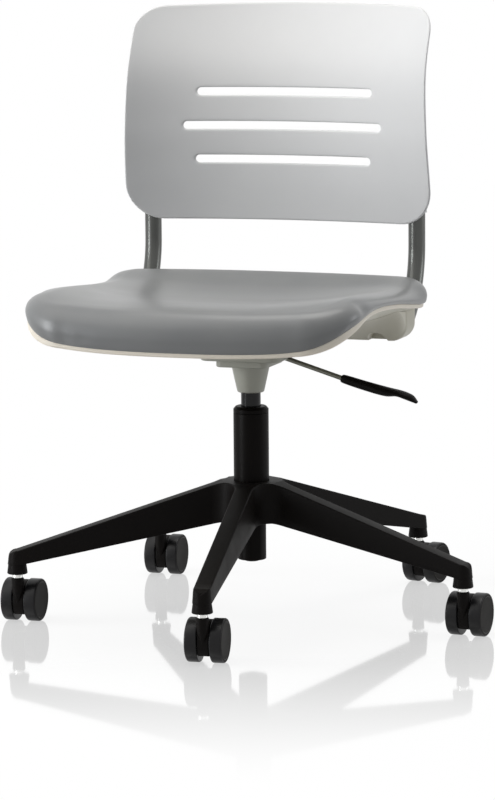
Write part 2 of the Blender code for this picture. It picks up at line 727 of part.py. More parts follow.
def wheel_solid(sign):
    """One tread wheel with a plain outer face and a blind bore, its outer face towards sign * X."""
    reach = WHEEL_RADIUS / math.cos(math.pi / WHEEL_SIDES)
    outer = 0.5 * CASTER_WIDTH
    inner = outer - WHEEL_WIDTH
    profile = ((0.0, outer), (reach - TREAD_ROUND, outer), (reach, outer - TREAD_ROUND),
               (reach, inner + 0.6 * TREAD_ROUND), (reach - 0.6 * TREAD_ROUND, inner),
               (AXLE_RADIUS + FIT_GAP, inner), (AXLE_RADIUS + FIT_GAP, outer - 0.004), (0.0, outer - 0.004))
    half_step = math.pi / WHEEL_SIDES
    bm = turned(profile, WHEEL_SIDES, phase=half_step)
    along_x(bm, CASTER_TRAIL, WHEEL_RADIUS)
    return bm if sign > 0 else mirrored(bm)


def hood_solid():
    """Drum between the wheels, open below, running up into the neck that takes the stem."""
    half = 0.5 * CASTER_WIDTH - WHEEL_WIDTH - RUN_GAP
    drum = along_x(turned(((HOOD_RADIUS, -half), (HOOD_RADIUS, half)), 20), CASTER_TRAIL, WHEEL_RADIUS)
    neck = turned(((HOOD_NECK_RADIUS - 0.0012, HOOD_TOP), (HOOD_NECK_RADIUS, HOOD_TOP - 0.0012),
                   (HOOD_NECK_RADIUS - 0.0018, HOOD_TOP - 0.022), (0.0015, WHEEL_RADIUS - 0.002)), 12)
    floor_cut = box((-CASTER_WIDTH, -CASTER_WIDTH, -HOOD_FLOOR_GAP),
                    (CASTER_WIDTH, CASTER_TRAIL + CASTER_WIDTH, HOOD_FLOOR_GAP))
    stem_bore = turned(((STEM_RADIUS + FIT_GAP, HOOD_TOP - STEM_DEPTH_IN_HOOD - FIT_GAP),
                        (STEM_RADIUS + FIT_GAP, HOOD_TOP + STEM_RADIUS)), 10)
    axle_bore = along_x(turned(((AXLE_RADIUS + FIT_GAP, -CASTER_WIDTH), (AXLE_RADIUS + FIT_GAP, CASTER_WIDTH)), 8),
                        CASTER_TRAIL, WHEEL_RADIUS)
    return carved(drum, [("UNION", neck), ("DIFFERENCE", floor_cut), ("DIFFERENCE", stem_bore),
                         ("DIFFERENCE", axle_bore)])


def stem_solid():
    """Steel stem with the collar that shows between hood and leg."""
    return turned(((STEM_RADIUS - 0.0008, HOOD_TOP - STEM_DEPTH_IN_HOOD), (STEM_RADIUS, HOOD_TOP - STEM_DEPTH_IN_HOOD
                                                                         + 0.0008),
                   (STEM_RADIUS, HOOD_TOP + FIT_GAP), (STEM_COLLAR_RADIUS, HOOD_TOP + FIT_GAP),
                   (STEM_COLLAR_RADIUS, SOCKET_BOTTOM - 2 * FIT_GAP), (STEM_RADIUS, SOCKET_BOTTOM - 2 * FIT_GAP),
                   (STEM_RADIUS, SOCKET_BOTTOM + STEM_DEPTH_IN_LEG - 0.001),
                   (STEM_RADIUS - 0.001, SOCKET_BOTTOM + STEM_DEPTH_IN_LEG)), 10)


def axle_solid():
    half = 0.5 * CASTER_WIDTH - 0.004 - FIT_GAP
    return along_x(turned(((AXLE_RADIUS, -half), (AXLE_RADIUS, half)), 8), CASTER_TRAIL, WHEEL_RADIUS)


# Gas lift

def column_solid():
    """Outer tube, tapered where it wedges into the base, with a bored floor."""
    inner_floor = COLUMN_BOTTOM + COLUMN_FLOOR
    return turned(((COLUMN_RADIUS, COLUMN_TOP), (COLUMN_RADIUS, COLUMN_TAPER_TOP),
                   (COLUMN_FOOT_RADIUS, COLUMN_TAPER_BOTTOM), (COLUMN_FOOT_RADIUS, COLUMN_BOTTOM),
                   (ROD_RADIUS + FIT_GAP, COLUMN_BOTTOM), (ROD_RADIUS + FIT_GAP, inner_floor),
                   (COLUMN_FOOT_RADIUS - COLUMN_WALL, inner_floor),
                   (COLUMN_FOOT_RADIUS - COLUMN_WALL, COLUMN_TAPER_BOTTOM),
                   (COLUMN_RADIUS - COLUMN_WALL, COLUMN_TAPER_TOP),
                   (COLUMN_RADIUS - COLUMN_WALL, COLUMN_TOP)), 28, closed=True)


def column_bush_solid():
    """Guide sleeve in the tube's mouth with the chamfered cap that shows above it."""
    bore = CYLINDER_RADIUS + FIT_GAP
    sleeve = COLUMN_RADIUS - COLUMN_WALL - FIT_GAP
    seat = COLUMN_TOP + FIT_GAP
    return turned(((bore, seat + BUSH_CAP), (COLUMN_RADIUS - 0.0035, seat + BUSH_CAP),
                   (COLUMN_RADIUS, seat + 0.55 * BUSH_CAP), (COLUMN_RADIUS, seat), (sleeve, seat),
                   (sleeve, seat - BUSH_LENGTH), (bore, seat - BUSH_LENGTH)), 28, closed=True)


def nose_radius_at(z):
    """Outer radius of the gas cylinder, which tapers where it wedges into the seat's socket."""
    share = min(max((z - CONE_BOTTOM) / (NOSE_TOP - CONE_BOTTOM), 0.0), 1.0)
    return CYLINDER_RADIUS + share * (CYLINDER_NOSE_RADIUS - CYLINDER_RADIUS)


def cylinder_solid():
    """Gas cylinder: gland at the foot, a closed bore for the piston and a well for the button."""
    gland = ROD_RADIUS + FIT_GAP
    bore = CYLINDER_RADIUS - CYLINDER_WALL
    floor = CYLINDER_BOTTOM + CYLINDER_END
    body = turned(((0.0, NOSE_TOP), (CYLINDER_NOSE_RADIUS - 0.001, NOSE_TOP), (CYLINDER_NOSE_RADIUS, NOSE_TOP - 0.001),
                   (CYLINDER_RADIUS, CONE_BOTTOM), (CYLINDER_RADIUS, CYLINDER_BOTTOM), (gland, CYLINDER_BOTTOM),
                   (gland, floor), (bore, floor), (bore, CYLINDER_CAVITY_TOP), (0.0, CYLINDER_CAVITY_TOP)), 24)
    well = turned(((BUTTON_RADIUS + FIT_GAP, NOSE_TOP - BUTTON_SEAT_DEPTH), (BUTTON_RADIUS + FIT_GAP, NOSE_TOP + 0.01)),
                  12)
    return carved(body, [("DIFFERENCE", well)])


def piston_rod_solid():
    """Rod from the clip at the column's foot to the piston inside the cylinder."""
    collar = COLUMN_BOTTOM + COLUMN_FLOOR + FIT_GAP + BEARING_HEIGHT + FIT_GAP
    head = CYLINDER_RADIUS - CYLINDER_WALL - FIT_GAP
    return turned(((0.0, PISTON_TOP), (head, PISTON_TOP), (head, PISTON_TOP - PISTON_HEIGHT),
                   (ROD_RADIUS, PISTON_TOP - PISTON_HEIGHT), (ROD_RADIUS, collar + 0.002),
                   (ROD_COLLAR_RADIUS, collar + 0.002), (ROD_COLLAR_RADIUS, collar), (ROD_RADIUS, collar),
                   (ROD_RADIUS, ROD_BOTTOM + 0.001), (ROD_RADIUS - 0.001, ROD_BOTTOM), (0.0, ROD_BOTTOM)), 12)


def bearing_solid():
    low = COLUMN_BOTTOM + COLUMN_FLOOR + FIT_GAP
    bore = ROD_RADIUS + FIT_GAP
    return turned(((bore, low + BEARING_HEIGHT), (BEARING_RADIUS, low + BEARING_HEIGHT), (BEARING_RADIUS, low),
                   (bore, low)), 16, closed=True)


def clip_solid():
    high = COLUMN_BOTTOM - FIT_GAP
    bore = ROD_RADIUS + FIT_GAP
    return turned(((bore, high), (CLIP_RADIUS, high), (CLIP_RADIUS, high - CLIP_THICKNESS),
                   (bore, high - CLIP_THICKNESS)), 16, closed=True)


def button_solid():
    low = NOSE_TOP - BUTTON_SEAT_DEPTH + 0.0050
    return turned(((0.0, BUTTON_TOP), (BUTTON_RADIUS - 0.0012, BUTTON_TOP), (BUTTON_RADIUS, BUTTON_TOP - 0.0012),
                   (BUTTON_RADIUS, low), (0.0, low)), 12)


# Column socket, plate, rail and lever

def socket_solid():
    """Cast socket: flange, stepped pad and cone, with the tapered bore and the lever's well."""
    flange = rounded_slab((-FLANGE_HALF_WIDTH, FLANGE_FRONT, FLANGE_BOTTOM),
                          (FLANGE_HALF_WIDTH, FLANGE_REAR, PLATE_BOTTOM - FIT_GAP), FLANGE_CORNER)
    pad = rounded_slab((-PAD_HALF_WIDTH, PAD_FRONT, PAD_BOTTOM), (PAD_HALF_WIDTH, PAD_REAR, FLANGE_BOTTOM + PAD_STEP),
                       PAD_CORNER)
    cone = turned(((CONE_BOTTOM_RADIUS - 0.0025, CONE_BOTTOM), (CONE_BOTTOM_RADIUS, CONE_BOTTOM + 0.0025),
                   (CONE_TOP_RADIUS, CONE_TOP), (CONE_TOP_RADIUS + 0.003, PAD_BOTTOM + 0.004)), 28)
    gap = FIT_GAP
    bore = turned(((CYLINDER_RADIUS + gap, CONE_BOTTOM - 0.01), (CYLINDER_RADIUS + gap, CONE_BOTTOM),
                   (CYLINDER_NOSE_RADIUS + gap, NOSE_TOP), (CYLINDER_NOSE_RADIUS + gap, NOSE_TOP + 0.006)), 24)
    well = box((-0.020, -CAVITY_HALF_WIDTH, NOSE_TOP + 0.001), (FLANGE_HALF_WIDTH + CAVITY_HALF_WIDTH, CAVITY_HALF_WIDTH, PLATE_TOP))
    mouth = box((FLANGE_HALF_WIDTH - 0.018, -CAVITY_HALF_WIDTH, FLANGE_BOTTOM - 0.009),
                (FLANGE_HALF_WIDTH + CAVITY_HALF_WIDTH, CAVITY_HALF_WIDTH, PLATE_TOP))
    pin = turned(((LEVER_PIN_RADIUS + gap, -0.5 * LEVER_PIN_LENGTH - gap),
                  (LEVER_PIN_RADIUS + gap, 0.5 * LEVER_PIN_LENGTH + gap)), 12)
    pin.transform(Matrix.Translation((LEVER_PIVOT_X, 0.0, LEVER_PIVOT_Z)) @ Matrix.Rotation(math.radians(90), 4, "X"))
    return carved(flange, [("UNION", pad), ("UNION", cone), ("DIFFERENCE", bore), ("DIFFERENCE", well),
                           ("DIFFERENCE", mouth), ("DIFFERENCE", pin)])


def plate_solid():
    return rounded_slab((-FLANGE_HALF_WIDTH, FLANGE_FRONT, PLATE_BOTTOM), (FLANGE_HALF_WIDTH, PLATE_REAR, PLATE_TOP),
                        PLATE_CORNER)


def rail_solid():
    low = PLATE_TOP + FIT_GAP
    return box((-RAIL_HALF_LENGTH, RAIL_FRONT, low), (RAIL_HALF_LENGTH, RAIL_REAR, low + RAIL_HEIGHT))


def lever_frame():
    """Lever's own frame: x along the rod outwards from the pivot, y along the pin."""
    return (Matrix.Translation((LEVER_PIVOT_X, 0.0, LEVER_PIVOT_Z)) @ Matrix.Rotation(LEVER_SLOPE, 4, "Y"))


def lever_rod_solid():
    """Straight rod with the cross boss that turns on the lever pin."""
    rod = along_x(turned(((LEVER_ROD_RADIUS - 0.0006, -LEVER_INNER_REACH), (LEVER_ROD_RADIUS, -LEVER_INNER_REACH
                                                                          + 0.0006),
                          (LEVER_ROD_RADIUS, LEVER_OUTER_REACH)), 12), 0.0, 0.0)
    half = CAVITY_HALF_WIDTH - RUN_GAP
    boss = turned(((LEVER_BOSS_RADIUS, -half), (LEVER_BOSS_RADIUS, half)), 16)
    bore = turned(((LEVER_PIN_RADIUS + FIT_GAP, -0.02), (LEVER_PIN_RADIUS + FIT_GAP, 0.02)), 12)
    for solid in (boss, bore):
        solid.transform(Matrix.Rotation(math.radians(90), 4, "X"))
    bm = carved(rod, [("UNION", boss), ("DIFFERENCE", bore)])
    bm.transform(lever_frame())
    return bm


def lever_pin_solid():
    bm = turned(((LEVER_PIN_RADIUS, -0.5 * LEVER_PIN_LENGTH), (LEVER_PIN_RADIUS, 0.5 * LEVER_PIN_LENGTH)), 12)
    bm.transform(Matrix.Translation((LEVER_PIVOT_X, 0.0, LEVER_PIVOT_Z)) @ Matrix.Rotation(math.radians(90), 4, "X"))
    return bm


# Grip sections: (share of its length, half width, half height, drop of its middle)
GRIP_SECTIONS = ((0.0, 0.0046, 0.0046, 0.0), (0.05, 0.0062, 0.0062, 0.0), (0.35, 0.0085, 0.0068, -0.0012),
                 (0.60, 0.0115, 0.0066, -0.0033), (0.74, 0.0117, 0.0048, -0.0066), (0.84, 0.0112, 0.0049, -0.0069),
                 (0.93, 0.0090, 0.0045, -0.0061), (1.0, 0.0050, 0.0022, -0.0035))


def grip_solid():
    """Moulded paddle: round at the rod, flattening towards a turned-down tip."""
    rings = []
    for share, half_width, half_height, drop in GRIP_SECTIONS:
        x = GRIP_START + share * GRIP_LENGTH
        rings.append([Vector((x, half_width * math.cos(2 * math.pi * k / 16),
                              half_height * math.sin(2 * math.pi * k / 16) - drop)) for k in range(16)])
    bore = along_x(turned(((LEVER_ROD_RADIUS + FIT_GAP, GRIP_START - 0.01),
                           (LEVER_ROD_RADIUS + FIT_GAP, LEVER_OUTER_REACH + FIT_GAP)), 12), 0.0, 0.0)
    bm = carved(rings_solid(rings), [("DIFFERENCE", bore)])
    bm.transform(lever_frame())
    return bm


# Recline hinge, built on the +X side

def housing_top(x):
    """Underside of the seat shell that the housing nests against."""
    steps = 6
    return min(shell_height(x, HOUSING_FRONT + (SEAT_REAR - HOUSING_FRONT) * i / steps)
               for i in range(steps + 1)) - max(RIM_HEIGHT, SHELL_THICKNESS) - PAD_GAP


def drawn_in(distance, radius):
    """How far a rounded corner lies inside the square one, at a distance from the face it ends on."""
    short = max(radius - distance, 0.0)
    return radius - math.sqrt(radius * radius - short * short)


def housing_ring(y):
    """Section of the housing across the chair: rounded in plan at its outer corners, eased at its end faces."""
    ahead = y - HOUSING_FRONT
    behind = HOUSING_REAR - y
    ease = max(drawn_in(ahead, HOUSING_EDGE), drawn_in(behind, HOUSING_EDGE))
    outer = HOUSING_OUTER - max(drawn_in(ahead, HOUSING_FRONT_ROUND), drawn_in(behind, HOUSING_REAR_ROUND))
    bottom = HOUSING_BOTTOM + ease
    ring = [Vector((HOUSING_INNER + ease, y, bottom))]
    for i in range(7):
        turn = math.radians(-90.0 + 90.0 * i / 6)
        ring.append(Vector((outer - HOUSING_CORNER + HOUSING_CORNER * math.cos(turn), y,
                            bottom + HOUSING_CORNER + HOUSING_CORNER * math.sin(turn))))
    for share in (0.0, 0.34, 0.67, 1.0):
        x = outer + share * (HOUSING_INNER + ease - outer)
        ring.append(Vector((x, y, housing_top(x) - ease)))
    return ring


def housing_solid():
    """Moulded housing: full outer corner, screw recess, torsion cavity and the slot the tube swings in."""
    places = [HOUSING_FRONT + d for d in (0.0, 0.3 * HOUSING_EDGE, HOUSING_EDGE, 0.4 * HOUSING_FRONT_ROUND,
                                          HOUSING_FRONT_ROUND)]
    places += [HOUSING_REAR - d for d in (HOUSING_REAR_ROUND, HOUSING_EDGE, 0.3 * HOUSING_EDGE, 0.0)]
    body = rings_solid([housing_ring(y) for y in places], split=True)

    arch = [(-RECESS_HALF_WIDTH, -0.004)]
    for i in range(9):
        turn = math.pi * (1.0 - i / 8)
        arch.append((RECESS_HALF_WIDTH * math.cos(turn), RECESS_HEIGHT * math.sin(turn)))
    arch.append((RECESS_HALF_WIDTH, -0.004))
    recess = rings_solid([[Vector((RECESS_X + x, y, HOUSING_BOTTOM + z)) for x, z in arch]
                          for y in (HOUSING_FRONT - 0.01, HOUSING_FRONT + RECESS_DEPTH)])
    screw_hole = turned(((SCREW_SHANK_RADIUS + FIT_GAP, HOUSING_BOTTOM + 0.5 * RECESS_HEIGHT),
                         (SCREW_SHANK_RADIUS + FIT_GAP, HOUSING_BOTTOM + RECESS_HEIGHT + SCREW_LENGTH + FIT_GAP)), 12)
    screw_hole.transform(Matrix.Translation((RECESS_X, HOUSING_FRONT + 0.5 * RECESS_DEPTH, 0.0)))
    half_slot = TUBE_RADIUS + SLOT_SIDE_GAP
    drop = HINGE_HUB_RADIUS + SLOT_FLOOR_GAP
    section = ((-half_slot, -drop), (0.4 * half_slot, -drop), (half_slot, -0.25 * drop),
               (half_slot, BACK_BOTTOM - HINGE_Z), (-half_slot, BACK_BOTTOM - HINGE_Z))
    slot = rings_solid([[Vector((TUBE_X + x, y, HINGE_Z + z)) for x, z in section]
                        for y in (HINGE_Y - drop, HOUSING_REAR + HOUSING_EDGE)])
    cavity = along_x(turned(((TORSION_BUSH_RADIUS + FIT_GAP, TORSION_BUSH_INNER_X - FIT_GAP),
                             (TORSION_BUSH_RADIUS + FIT_GAP, TUBE_X)), 20), HINGE_Y, HINGE_Z)
    pin_bore = along_x(turned(((HINGE_PIN_RADIUS + FIT_GAP, hinge_pin_inner() - FIT_GAP),
                               (HINGE_PIN_RADIUS + FIT_GAP, hinge_pin_outer() + FIT_GAP)), 16), HINGE_Y, HINGE_Z)
    rail_low = PLATE_TOP + FIT_GAP
    rail = box((HOUSING_INNER - 0.01, RAIL_FRONT - FIT_GAP, rail_low - FIT_GAP),
               (RAIL_HALF_LENGTH + FIT_GAP, RAIL_REAR + FIT_GAP, rail_low + RAIL_HEIGHT + FIT_GAP))
    return carved(body, [("DIFFERENCE", recess), ("DIFFERENCE", screw_hole), ("DIFFERENCE", slot),
                         ("DIFFERENCE", cavity), ("DIFFERENCE", pin_bore), ("DIFFERENCE", rail)])


def hinge_pin_inner():
    return HOUSING_INNER + 0.004


def hinge_pin_outer():
    return TUBE_X + HINGE_HUB_OUTER + 0.001


def hinge_pin_solid():
    return along_x(turned(((HINGE_PIN_RADIUS, hinge_pin_inner()), (HINGE_PIN_RADIUS, hinge_pin_outer())), 16),
                   HINGE_Y, HINGE_Z)


def torsion_bush_solid():
    """Rubber torsion sleeve between pin and housing, beside the tube's hub."""
    outer_x = TUBE_X - TUBE_RADIUS - SLOT_SIDE_GAP
    bore = HINGE_PIN_RADIUS + FIT_GAP
    return along_x(turned(((bore, TORSION_BUSH_INNER_X), (TORSION_BUSH_RADIUS, TORSION_BUSH_INNER_X),
                           (TORSION_BUSH_RADIUS, outer_x), (bore, outer_x)), 20, closed=True), HINGE_Y, HINGE_Z)


def housing_screw_solid():
    top = HOUSING_BOTTOM + RECESS_HEIGHT - FIT_GAP
    bm = turned(((0.0, top - SCREW_HEAD_HEIGHT), (0.7 * SCREW_HEAD_RADIUS, top - SCREW_HEAD_HEIGHT),
                 (SCREW_HEAD_RADIUS, top - 0.55 * SCREW_HEAD_HEIGHT), (SCREW_HEAD_RADIUS, top - 0.0012),
                 (SCREW_SHANK_RADIUS, top - 0.0012), (SCREW_SHANK_RADIUS, top + SCREW_LENGTH),
                 (0.0, top + SCREW_LENGTH)), 12)
    bm.transform(Matrix.Translation((RECESS_X, HOUSING_FRONT + 0.5 * RECESS_DEPTH, 0.0)))
    return bm


def tube_solid():
    """Bent upright: straight into the back's sleeve, a forward bend, then down to its hinge hub."""
    points = [Vector((TUBE_X, HINGE_Y, HINGE_Z)), Vector((TUBE_X, BEND_END_Y, BEND_END_Z))]
    steps = 8
    for i in range(1, steps + 1):
        turn = TUBE_BEND * (1.0 - i / steps)
        points.append(Vector((TUBE_X, TUBE_Y - TUBE_BEND_RADIUS * (1.0 - math.cos(turn)),
                              TUBE_BEND_TOP - TUBE_BEND_RADIUS * math.sin(turn))))
    points.append(Vector((TUBE_X, TUBE_Y, TUBE_TOP)))
    half = TUBE_RADIUS + SLOT_SIDE_GAP - RUN_GAP
    hub = along_x(turned(((HINGE_HUB_RADIUS, TUBE_X - half), (HINGE_HUB_RADIUS, TUBE_X + 0.45 * HINGE_HUB_OUTER),
                          (0.75 * HINGE_HUB_RADIUS, TUBE_X + HINGE_HUB_OUTER)), 20), HINGE_Y, HINGE_Z)
    bore = along_x(turned(((HINGE_PIN_RADIUS + FIT_GAP, TUBE_X - 0.03), (HINGE_PIN_RADIUS + FIT_GAP, TUBE_X + 0.03)),
                          16), HINGE_Y, HINGE_Z)
    hollow = points[2:-1] + [points[-1] + Vector((0.0, 0.0, TUBE_WALL))]
    return carved(sweep(points, TUBE_RADIUS, TUBE_SIDES),
                  [("DIFFERENCE", sweep(hollow, TUBE_RADIUS - TUBE_WALL, TUBE_SIDES)), ("UNION", hub),
                   ("DIFFERENCE", bore)])


# Back shell

def back_share(z):
    return (z - BACK_BOTTOM) / BACK_HEIGHT


def back_curve(z):
    """Bend of the back across its width."""
    return smooth_line(BACK_CURVE_LINE, back_share(z)) / BACK_BEND_RADIUS


def back_half_width(z):
    return BACK_HALF_WIDTH * smooth_line(BACK_WIDTH_LINE, back_share(z))


def back_face(x, z):
    """Depth of the back's front face."""
    curve = back_curve(z)
    middle = TUBE_Y + BACK_RAKE * smooth_line(BACK_DEPTH_LINE, back_share(z))
    return middle - 0.5 * curve * x * x * (1.0 + 0.25 * (curve * x) ** 2)


def back_rows():
    """(height, half width) of each row of the back, from the bottom edge round both corners to the top."""
    rows = []
    low = BACK_BOTTOM + BACK_BOTTOM_CORNER
    high = BACK_TOP - BACK_TOP_CORNER
    for i in range(CORNER_STEPS + 1):
        turn = math.radians(90.0 * (1.0 - i / CORNER_STEPS))
        z = low - BACK_BOTTOM_CORNER * math.sin(turn)
        rows.append((z, back_half_width(z) - BACK_BOTTOM_CORNER * (1.0 - math.cos(turn))))
    for i in range(1, BACK_ROWS):
        z = low + (high - low) * i / BACK_ROWS
        rows.append((z, back_half_width(z)))
    for i in range(CORNER_STEPS + 1):
        turn = math.radians(90.0 * i / CORNER_STEPS)
        z = high + BACK_TOP_CORNER * math.sin(turn)
        rows.append((z, back_half_width(z) - BACK_TOP_CORNER * (1.0 - math.cos(turn))))
    return rows


def back_solid():
    """Thin shell curved both ways, with three round-ended slots and a sleeve for each tube."""
    bm = bmesh.new()
    sides = []
    for depth in (0.0, BACK_THICKNESS):
        grid = []
        for z, half in back_rows():
            row = []
            for i in range(BACK_COLUMNS + 1):
                x = half * (2.0 * i / BACK_COLUMNS - 1.0)
                lift = -BACK_TOP_DROP * (x / back_half_width(BACK_TOP)) ** 2 * back_share(z) ** 3
                lean = 1.0 + 0.5 * (back_curve(z) * x) ** 2
                row.append(bm.verts.new((x, back_face(x, z + lift) + depth * lean, z + lift)))
            grid.append(row)
        sides.append(grid)
    front, rear = sides
    for r in range(len(front) - 1):
        for c in range(BACK_COLUMNS):
            bm.faces.new((front[r][c], front[r][c + 1], front[r + 1][c + 1], front[r + 1][c]))
            bm.faces.new((rear[r][c], rear[r + 1][c], rear[r + 1][c + 1], rear[r][c + 1]))
        for c in (0, BACK_COLUMNS):
            bm.faces.new((front[r][c], front[r + 1][c], rear[r + 1][c], rear[r][c]))
    for r in (0, -1):
        for c in range(BACK_COLUMNS):
            bm.faces.new((front[r][c], front[r][c + 1], rear[r][c + 1], rear[r][c]))
    finish(bm)

    slots = []
    for z, half in SLOTS:
        radius = 0.5 * SLOT_HEIGHT
        loop = []
        for sign in (1, -1):
            for i in range(7):
                turn = math.radians(-90.0 + 30.0 * i)
                loop.append((sign * (half - radius + radius * math.cos(turn)), z + sign * radius * math.sin(turn)))
        slots.append(rings_solid([[Vector((x, y, h)) for x, h in loop] for y in (TUBE_Y - BACK_RAKE, TUBE_Y + 2.0 * BACK_RAKE)]))

    sleeves = []
    bores = []
    outer = TUBE_RADIUS + FIT_GAP + SLEEVE_WALL
    top = TUBE_TOP + FIT_GAP + SLEEVE_CAP
    for sign in (-1, 1):
        sleeves.append(sleeve_solid(sign, outer, top))
        bore = turned(((TUBE_RADIUS + FIT_GAP, BACK_BOTTOM), (TUBE_RADIUS + FIT_GAP, TUBE_TOP + FIT_GAP)),
                      TUBE_SIDES)
        bore.transform(Matrix.Translation((sign * TUBE_X, TUBE_Y, 0.0)))
        bores.append(bore)
    return carved(bm, [("UNION", joined(sleeves)), ("DIFFERENCE", joined(slots)), ("DIFFERENCE", joined(bores))])


def sleeve_solid(sign, outer, top):
    """D-section sleeve whose flat runs forward into the shell."""
    rings = []
    for i in range(6):
        z = SLEEVE_BOTTOM + (top - SLEEVE_BOTTOM) * i / 5
        right = sign * TUBE_X + outer
        left = sign * TUBE_X - outer
        sunk = 0.6 * BACK_THICKNESS
        ring = [Vector((sign * TUBE_X, back_face(TUBE_X, z) + sunk, z)),
                Vector((right, back_face(right, z) + sunk, z)), Vector((right, TUBE_Y, z))]
        for i in range(1, 8):
            turn = math.pi * i / 8
            ring.append(Vector((sign * TUBE_X + outer * math.cos(turn), TUBE_Y + outer * math.sin(turn), z)))
        ring += [Vector((left, TUBE_Y, z)), Vector((left, back_face(left, z) + sunk, z))]
        rings.append(ring)
    return rings_solid(rings)


# Assembly

def build():
    for old in list(bpy.data.objects):
        bpy.data.objects.remove(old, do_unlink=True)

    finish_material("vinyl_grey", (0.22, 0.23, 0.24), 0.45)
    finish_material("shell_cream", (0.62, 0.58, 0.52), 0.45)
    finish_material("back_grey", (0.55, 0.55, 0.57), 0.40)
    finish_material("cast_grey_green", (0.24, 0.24, 0.20), 0.45, 0.2)
    finish_material("tube_silver", (0.36, 0.36, 0.36), 0.32, 0.9)
    finish_material("nylon_black", (0.012, 0.011, 0.010), 0.50)
    finish_material("steel_black", (0.015, 0.012, 0.010), 0.35, 0.4)
    finish_material("steel_bright", (0.60, 0.60, 0.58), 0.25, 1.0)
    finish_material("tread_black", (0.010, 0.010, 0.012), 0.35)
    finish_material("rubber_black", (0.02, 0.02, 0.02), 0.80)

    root = axis("chair_root", (0.0, 0.0, 0.0))
    swivel = axis("seat_swivel_axis", (0.0, 0.0, ROD_BOTTOM), root)
    lift = axis("lift_axis", (0.0, 0.0, CYLINDER_BOTTOM), swivel)
    hinge = axis("back_hinge_axis", (0.0, HINGE_Y, HINGE_Z), lift)
    lever = axis("lever_axis", (LEVER_PIVOT_X, 0.0, LEVER_PIVOT_Z), lift)
    plunger = axis("button_axis", (0.0, 0.0, BUTTON_TOP), lift)

    leg_start = math.radians(LEG_TURN_DEG - 90.0)
    star = base_solid()
    star.transform(Matrix.Rotation(leg_start, 4, "Z"))
    chair_piece("five_star_base", star, "nylon_black", root)
    chair_piece("column_tube", column_solid(), "steel_black", root)
    chair_piece("column_bush", column_bush_solid(), "nylon_black", root)
    chair_piece("thrust_bearing", bearing_solid(), "steel_bright", root)

    chair_piece("piston_rod", piston_rod_solid(), "steel_bright", swivel)
    chair_piece("retaining_clip", clip_solid(), "steel_bright", swivel)

    chair_piece("gas_cylinder", cylinder_solid(), "steel_black", lift)
    chair_piece("column_socket", socket_solid(), "cast_grey_green", lift)
    chair_piece("mount_plate", plate_solid(), "steel_black", lift)
    chair_piece("cross_rail", rail_solid(), "steel_black", lift)
    chair_piece("lever_pin", lever_pin_solid(), "steel_bright", lift)
    chair_piece("seat_shell", shell_solid(), "shell_cream", lift)
    chair_piece("seat_cushion", cushion_solid(), "vinyl_grey", lift)
    chair_piece("release_button", button_solid(), "steel_bright", plunger)
    chair_piece("lever_rod", lever_rod_solid(), "cast_grey_green", lever)
    chair_piece("lever_grip", grip_solid(), "nylon_black", lever)

    for side, place in (("right", lambda bm: bm), ("left", mirrored)):
        chair_piece("pivot_housing_" + side, place(housing_solid()), "cast_grey_green", lift)
        chair_piece("hinge_pin_" + side, place(hinge_pin_solid()), "steel_bright", lift)
        chair_piece("torsion_bush_" + side, place(torsion_bush_solid()), "rubber_black", lift)
        chair_piece("housing_screw_" + side, place(housing_screw_solid()), "steel_black", lift)
        chair_piece("back_tube_" + side, place(tube_solid()), "tube_silver", hinge)
    chair_piece("back_shell", back_solid(), "back_grey", hinge)

    hood = to_mesh(hood_solid(), "hood")
    stem = to_mesh(stem_solid(), "stem")
    axle = to_mesh(axle_solid(), "axle")
    wheels = {"inner": to_mesh(wheel_solid(-1), "wheel"), "outer": to_mesh(wheel_solid(1), "wheel")}
    for mesh in (axle, *wheels.values()):
        mesh.transform(Matrix.Translation((0.0, -CASTER_TRAIL, -WHEEL_RADIUS)))
    for i in range(LEG_COUNT):
        tag = "caster_%d_" % (i + 1)
        turn = leg_start + 2.0 * math.pi * i / LEG_COUNT
        stand = axis(tag + "swivel_axis", (STEM_CIRCLE * math.cos(turn), STEM_CIRCLE * math.sin(turn), 0.0), root,
                     -math.radians(CASTER_TURN_DEG[i]))
        piece(tag + "hood", hood.copy(), "nylon_black", stand)
        piece(tag + "stem", stem.copy(), "steel_bright", stand)
        for name, mesh, material in (("axle", axle, "steel_bright"), ("wheel_left", wheels["inner"], "tread_black"),
                                     ("wheel_right", wheels["outer"], "tread_black")):
            item = piece(tag + name, mesh.copy(), material, stand)
            item.location = (0.0, CASTER_TRAIL, WHEEL_RADIUS)
    for mesh in (hood, stem, axle, *wheels.values()):
        bpy.data.meshes.remove(mesh)

    stand_on_centre(root)


def stand_on_centre(root):
    """Shift the whole chair so the bottom centre of its outline is at the origin."""
    bpy.context.view_layer.update()
    corners = [item.matrix_world @ vertex.co for item in bpy.data.objects if item.type == "MESH"
               for vertex in item.data.vertices]
    for k in (0, 1):
        values = [c[k] for c in corners]
        root.location[k] = -0.5 * (min(values) + max(values))
    bpy.context.view_layer.update()


build()
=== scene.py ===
"""Dressed armless task chair: upholstered seat, slotted back shell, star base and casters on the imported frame.

Shapes repeat the chair's own sizes, in metres, in the chair frame (+Z up, the sitter faces -Y), and are then set
down where the frame's column stands.
"""
from math import copysign, cos, exp, pi, radians, sin, sqrt, tan

import bmesh
import bpy
from mathutils import Matrix, Vector
from mathutils.kdtree import KDTree


